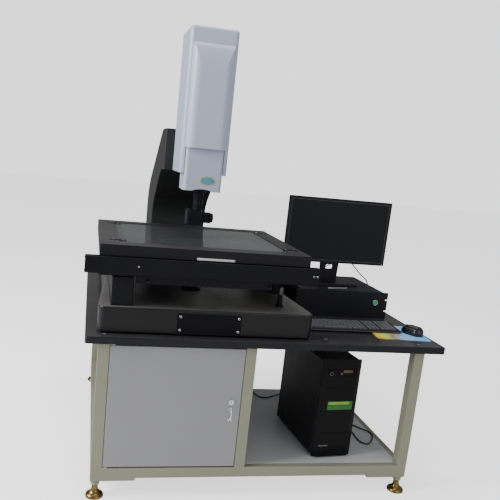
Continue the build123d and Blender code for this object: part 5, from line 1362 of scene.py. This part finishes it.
@dataclass
class Computer(Assembly):
    """Controller, display, keyboard and the tower computer.

    Attributes:
        case_top: Height of the controller's top.
        case_back: Y of the controller's back.
        display_front: Y of the bezel's front.
        display_back: Y of the display's back.
        strip: Middle and turn of the bare strip on the controller.
        switch: X and Z of the controller's lit button.
        tower: Middle of the tower's front at the shelf.
        tower_turn: Turn of the tower in degrees.
        tower_back: Depth of the tower's rear face.
    """

    case_top: float = 832.0
    case_back: float = 156.0
    display_front: float = -114.0
    display_back: float = -70.0
    strip: tuple[float, float, float] = (463.5, -158.6, 12.0)
    switch: tuple[float, float] = (644.3, 782.0)
    tower: Point = (358.0, -578.0, 135.0)
    tower_turn: float = 5.0
    tower_back: float = 430.0

    def build(self) -> None:
        """Adds the fittings of each piece of equipment."""
        self._controller()
        self._display()
        self._keyboard()
        self._tower_front()
        self._tower_side()
        self._tower_rear()
        self._leads()

    def _controller(self) -> None:
        """Bare strip, chrome switch ring, screws, side vents and the rear fittings."""
        x, y, turn = self.strip
        at = place(x, y, self.case_top) @ Matrix.Rotation(math.radians(turn), 4, "Z")
        self.plates("controller_strip", [at], (114.0, 10.0), 1.0, 0.4, "label_white", "case_paint")
        ring = [(11.7, -2.6), (11.7, 0.5), (12.3, 1.2), (14.0, 1.1), (14.5, 0.3), (14.5, -2.6)]
        self.turned("switch_ring", [place(self.switch[0], -224.0, self.switch[1], Turn.FRONT)], ring,
                    "bright_chrome", "chrome", closed=True, steps=36)
        tops = [place(a, b, self.case_top) for a in (266.0, 676.0) for b in (-196.0, -20.0, 148.0)]
        self.screws("controller_screws", tops, 2.8, finish="dark_screw")
        vents = [place(a, -120.0 + 13.0 * i, 770.0, turned) for i in range(14)
                 for a, turned in ((251.0, Turn.LEFT), (691.0, Turn.RIGHT))]
        # Painted shade: black strips stand in for the shade inside the side vents.
        self.plates("controller_side_vents", vents, (4.0, 60.0), 2.0, 0.25, "recess_black", "case_paint")
        self.grille("controller_fan", place(500.0, self.case_back, 768.0, Turn.BACK), 36.0, "case_paint")
        sockets = [place(a, self.case_back, 762.0, Turn.BACK) for a in (390.0, 432.0)]
        self.plates("controller_sockets", sockets, (31.0, 12.5), 3.0, 2.4, "zinc_screw", "steel")
        # Painted shade: black faces stand in for the shade inside the socket openings.
        self.plates("controller_socket_faces", [at @ Matrix.Translation((0.0, 0.0, 2.4)) for at in sockets],
                    (17.0, 8.0), 3.0, 1.6, "recess_black", "case_paint")
        inlet = place(631.0, self.case_back, 752.0, Turn.BACK)
        self.plates("controller_inlet", [inlet], (48.0, 28.0), 3.0, 3.0, "black_moulding", "black_plastic")
        socket = place(326.0, self.case_back, 758.0, Turn.BACK)
        self.plates("controller_signal_socket", [socket], (34.0, 16.0), 3.0, 5.0, "black_moulding",
                    "black_plastic")

    def _display(self) -> None:
        """Inner lip, keys and lamp of the bezel, and the vents of the display's back."""
        shape = Shape()
        for x, z, wide, tall in ((445.0, 1258.6, 514.0, 1.3), (445.0, 963.4, 514.0, 1.3),
                                 (188.4, 1111.0, 1.3, 295.0), (701.6, 1111.0, 1.3, 295.0)):
            at = place(x, self.display_front, z, Turn.FRONT)
            shape.prism(rounded_outline(wide, tall, 0.4), -0.2, 0.5, at)
        shape.finish("bezel_lip", self.palette["edge_grey"], "display", "black_plastic")
        keys = [place(660.0 + 9.0 * i, -106.0, 950.0) @ Matrix.Rotation(math.pi, 4, "X") for i in range(4)]
        self.plates("display_keys", keys, (6.0, 3.0), 1.2, 1.2, "black_moulding", "black_plastic", "display")
        lamp = place(703.0, self.display_front, 957.0, Turn.FRONT)
        self.plates("display_lamp", [lamp], (5.0, 1.6), 0.7, 0.3, "lamp_white", "black_plastic", "display")
        vents = [place(345.0 + 8.0 * i, self.display_back, z, Turn.BACK)
                 for i in range(26) for z in (1180.0, 1040.0)]
        # Painted shade: black strips stand in for the shade inside the vent slots.
        self.plates("display_vents", vents, (3.4, 22.0), 1.6, 0.25, "recess_black", "black_plastic",
                    "display")

    def _keyboard(self) -> None:
        """Lamp window, a strip of painted reflection along the keyboard's front edge, and soft rims on its
        keys.
        """
        low, high = edges("keyboard_case")
        # Painted reflection: a pale grey strip on the case's front edge stands in for the light it reflects.
        self.plates("keyboard_front_sheen", [place((low[0] + high[0]) / 2, low[1], 708.5, Turn.FRONT)],
                    (high[0] - low[0] - 6.0, 3.0), 1.3, 0.5, "edge_grey", "black_plastic")
        tilt = Matrix.Rotation(math.atan2(8.0, 135.0), 4, "X")
        lamps = [place(588.0 + 14.0 * i, -358.8, 720.7) @ tilt for i in range(3)]
        self.plates("keyboard_lamps", lamps, (4.0, 2.0), 0.9, 0.3, "lit_green", "black_plastic")
        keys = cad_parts["keyboard_keys"]
        rims = keys.modifiers.new("key_rims", "BEVEL")
        rims.width = 1.3 * MM
        rims.segments = 2
        rims.limit_method = "ANGLE"

    def _at_tower(self, x: float, y: float, z: float, turn: Turn = Turn.UP) -> Matrix:
        """A place measured from the middle of the tower's front at the shelf."""
        turned = Matrix.Rotation(math.radians(self.tower_turn), 4, "Z")
        return Matrix.Translation(self.tower) @ turned @ place(x, y, z, turn)

    def _tower_front(self) -> None:
        """Bare labels, a jack, two lines and the button's ring on the tower's front."""
        front = Turn.FRONT
        self.plates("tower_upper_label", [self._at_tower(27.0, 0.0, 412.0, front)], (44.0, 13.0), 1.5, 0.4,
                    "label_amber", "tower_plastic")
        self.plates("tower_green_label", [self._at_tower(9.0, 0.0, 251.0, front)], (122.0, 40.0), 2.0, 0.5,
                    "label_green", "tower_plastic")
        band = self._at_tower(4.0, -0.4, 262.0, front)
        self.plates("tower_green_label_band", [band], (104.0, 12.0), 4.0, 0.3, "label_lime", "tower_plastic")
        self.plates("tower_low_badge", [self._at_tower(-48.0, 0.0, 59.0, front)], (46.0, 6.0), 2.4, 0.5,
                    "cap_grey", "tower_plastic")
        jack = [(2.4, -0.3), (2.4, 0.5), (3.2, 0.9), (4.6, 0.9), (5.4, 0.4), (5.4, -0.3)]
        self.turned("tower_jack", [self._at_tower(-2.0, 0.0, 400.5, front)], jack, "cap_grey",
                    "tower_plastic", closed=True, steps=24)
        ring = [(5.9, -0.4), (5.9, 0.3), (6.4, 0.8), (7.6, 0.8), (8.2, 0.2), (8.2, -0.4)]
        self.turned("tower_button_ring", [self._at_tower(-52.0, 0.0, 401.0, front)], ring, "cap_grey",
                    "tower_plastic", closed=True, steps=28)
        lines = [self._at_tower(0.0, 0.0, z, front) for z in (120.0, 326.0)]
        self.plates("tower_front_lines", lines, (140.0, 1.6), 0.7, 0.3, "recess_black", "tower_plastic")

    def _tower_side(self) -> None:
        """Vents and panel seams on the tower's sides."""
        shape = Shape()
        left, right = -93.0, 93.0
        for row in range(7):
            for column in range(9):
                at = self._at_tower(left, 290.0 + 12.5 * column, 288.0 + 12.5 * row, Turn.LEFT)
                shape.prism(ring_outline(3.9, 8), -0.2, 0.25, at)
        for index, (y, z) in enumerate(((382.0, 205.0), (338.0, 64.0))):
            shape.prism(rounded_outline(9.0, 22.0 - 6.0 * index, 3.0), -0.2, 0.3,
                        self._at_tower(left, y, z, Turn.LEFT))
        for x, turn in ((left, Turn.LEFT), (right, Turn.RIGHT)):
            shape.prism(rounded_outline(1.2, 440.0, 0.5), -0.2, 0.25, self._at_tower(x, 24.0, 235.0, turn))
            for z in (448.0, 18.0):
                shape.prism(rounded_outline(396.0, 1.2, 0.5), -0.2, 0.25, self._at_tower(x, 224.0, z, turn))
        shape.finish("tower_side_vents", self.palette["vent_grey"], ROOT, "case_paint")

    def _tower_rear(self) -> None:
        """Power supply, fan, port plate and slot covers on the tower's back."""
        back = self.tower_back
        turn = Turn.BACK
        self.plates("tower_supply_plate", [self._at_tower(0.0, back, 66.0, turn)], (152.0, 92.0), 3.0, 0.8,
                    "galvanised", "case_paint")
        self.plates("tower_inlet", [self._at_tower(40.0, back + 0.8, 90.0, turn)], (30.0, 24.0), 2.0, 2.0,
                    "black_moulding", "black_plastic")
        self.grille("tower_supply_fan", self._at_tower(-30.0, back + 0.8, 64.0, turn), 36.0, "case_paint")
        self.grille("tower_case_fan", self._at_tower(-36.0, back, 350.0, turn), 42.0, "case_paint")
        self.plates("tower_port_plate", [self._at_tower(56.0, back, 350.0, turn)], (44.0, 158.0), 2.0, 0.6,
                    "galvanised", "case_paint")
        ports = [self._at_tower(56.0 + side, back + 0.6, 418.0 - 19.0 * row, turn)
                 for row in range(7) for side in (-9.5, 9.5)]
        self.plates("tower_ports", ports, (14.0, 12.0), 1.2, 1.4, "zinc_screw", "steel")
        faces = [at @ Matrix.Translation((0.0, 0.0, 1.4)) for at in ports]
        # Painted shade: black faces stand in for the shade inside the port openings.
        self.plates("tower_port_faces", faces, (11.0, 8.0), 1.0, 0.4, "recess_black", "steel")
        rows = [142.0 + 20.3 * i for i in range(6)]
        covers = [self._at_tower(10.0, back, z, turn) for z in rows]
        self.plates("tower_slot_covers", covers, (112.0, 15.0), 1.0, 0.8, "galvanised", "case_paint")
        screws = [self._at_tower(72.0, back, z, turn) for z in rows]
        screws += [self._at_tower(x, back, z, turn) for x, z in corners(-82.0, 82.0, 30.0, 440.0)]
        self.screws("tower_rear_screws", screws, 3.4)

    def _leads(self) -> None:
        """Strain reliefs where the leads leave their housings, and the plug's bright pins."""
        self.sleeve("tower_lead_relief", self._at_tower(40.0, 442.0, 90.0, Turn.BACK), 27.0, 7.2, 4.0)
        self.sleeve("controller_lead_relief", place(631.0, 168.0, 752.0, Turn.BACK), 17.0, 7.2, 4.4)
        self.sleeve("signal_lead_relief", place(326.0, 168.0, 758.0, Turn.BACK), 17.0, 7.2, 4.0)
        down = Matrix.Rotation(math.pi, 4, "X")
        self.sleeve("display_lead_relief", place(530.0, -54.0, 1076.5) @ down, 24.0, 5.6, 3.7)
        self.sleeve("display_signal_relief", place(511.0, -54.0, 1076.5) @ down, 24.0, 5.6, 3.3)
        pin = [(0.0, -1.0), (2.46, -1.0), (2.46, 17.9), (1.7, 19.0), (0.0, 19.1)]
        pins = [place(x, 418.0, 12.0, Turn.BACK) for x in (189.5, 208.5)]
        self.turned("plug_pins", pins, pin, "plug_brass", "steel", steps=16)


def dress_nodes(palette: Palette) -> None:
    """Gives every CAD node that shows its finish."""
    wear: dict[str, tuple[str, ...]] = {
        "bench_laminate": ("bench_top",),
        "frame_powder": ("bench_legs", "lower_rails", "upper_rails"),
        "shelf_powder": ("shelf",),
        "door_powder": ("cabinet_panels", "cabinet_door"),
        "passivated_brass": ("levelling_feet",),
        "ground_steel_y": ("y_rails", "y_screw", "y_carriages", "door_pivots"),
        "ground_steel_x": ("x_rails", "x_screw", "x_carriages", "z_guide", "z_screw"),
        "bright_chrome": ("door_handle", "door_lock"),
        "pad_rubber": ("base_pads", "mouse_wheel"),
        "black_granite": ("machine_base",),
        "plate_black": ("access_plate",),
        "black_powder": ("y_beams", "y_drive_cover", "saddle"),
        "column_powder": ("column",),
        "motor_lacquer": ("y_drive", "x_drive", "z_drive"),
        "black_anodising": ("contour_light", "drive_bar", "z_carriage", "zoom_lens", "ring_light"),
        "head_enamel": ("head_housing", "head_front_cover", "moving_cover"),
        "stage_lacquer": ("stage_frame",),
        "stage_plate_glass": ("stage_glass",),
        "case_powder": ("controller_case", "controller_panel", "tower_case"),
        "lit_green": ("controller_button",),
        "black_moulding": ("monitor_base", "monitor_neck", "keyboard_case"),
        "bezel_moulding": ("monitor_housing",),
        "mouse_gloss": ("mouse_shell", "mouse_left_button", "mouse_right_button"),
        "screen_face": ("monitor_screen",),
        "key_moulding": ("keyboard_keys",),
        "tower_gloss": ("tower_front", "tower_button"),
        "cord_sheath": ("power_plug",),
        "pad_print": ("mouse_pad",),
    }
    for name, nodes in wear.items():
        palette.dress(name, *nodes)


def main() -> None:
    """Builds the studio, the cords and each sub-assembly."""
    logging.basicConfig(level=logging.INFO, format="%(message)s")
    palette = Palette()
    Studio().build()
    Cords().build(palette)
    dress_nodes(palette)
    Bench(palette).build()
    Machine(palette).build()
    Computer(palette).build()


if __name__ == "__main__":
    main()
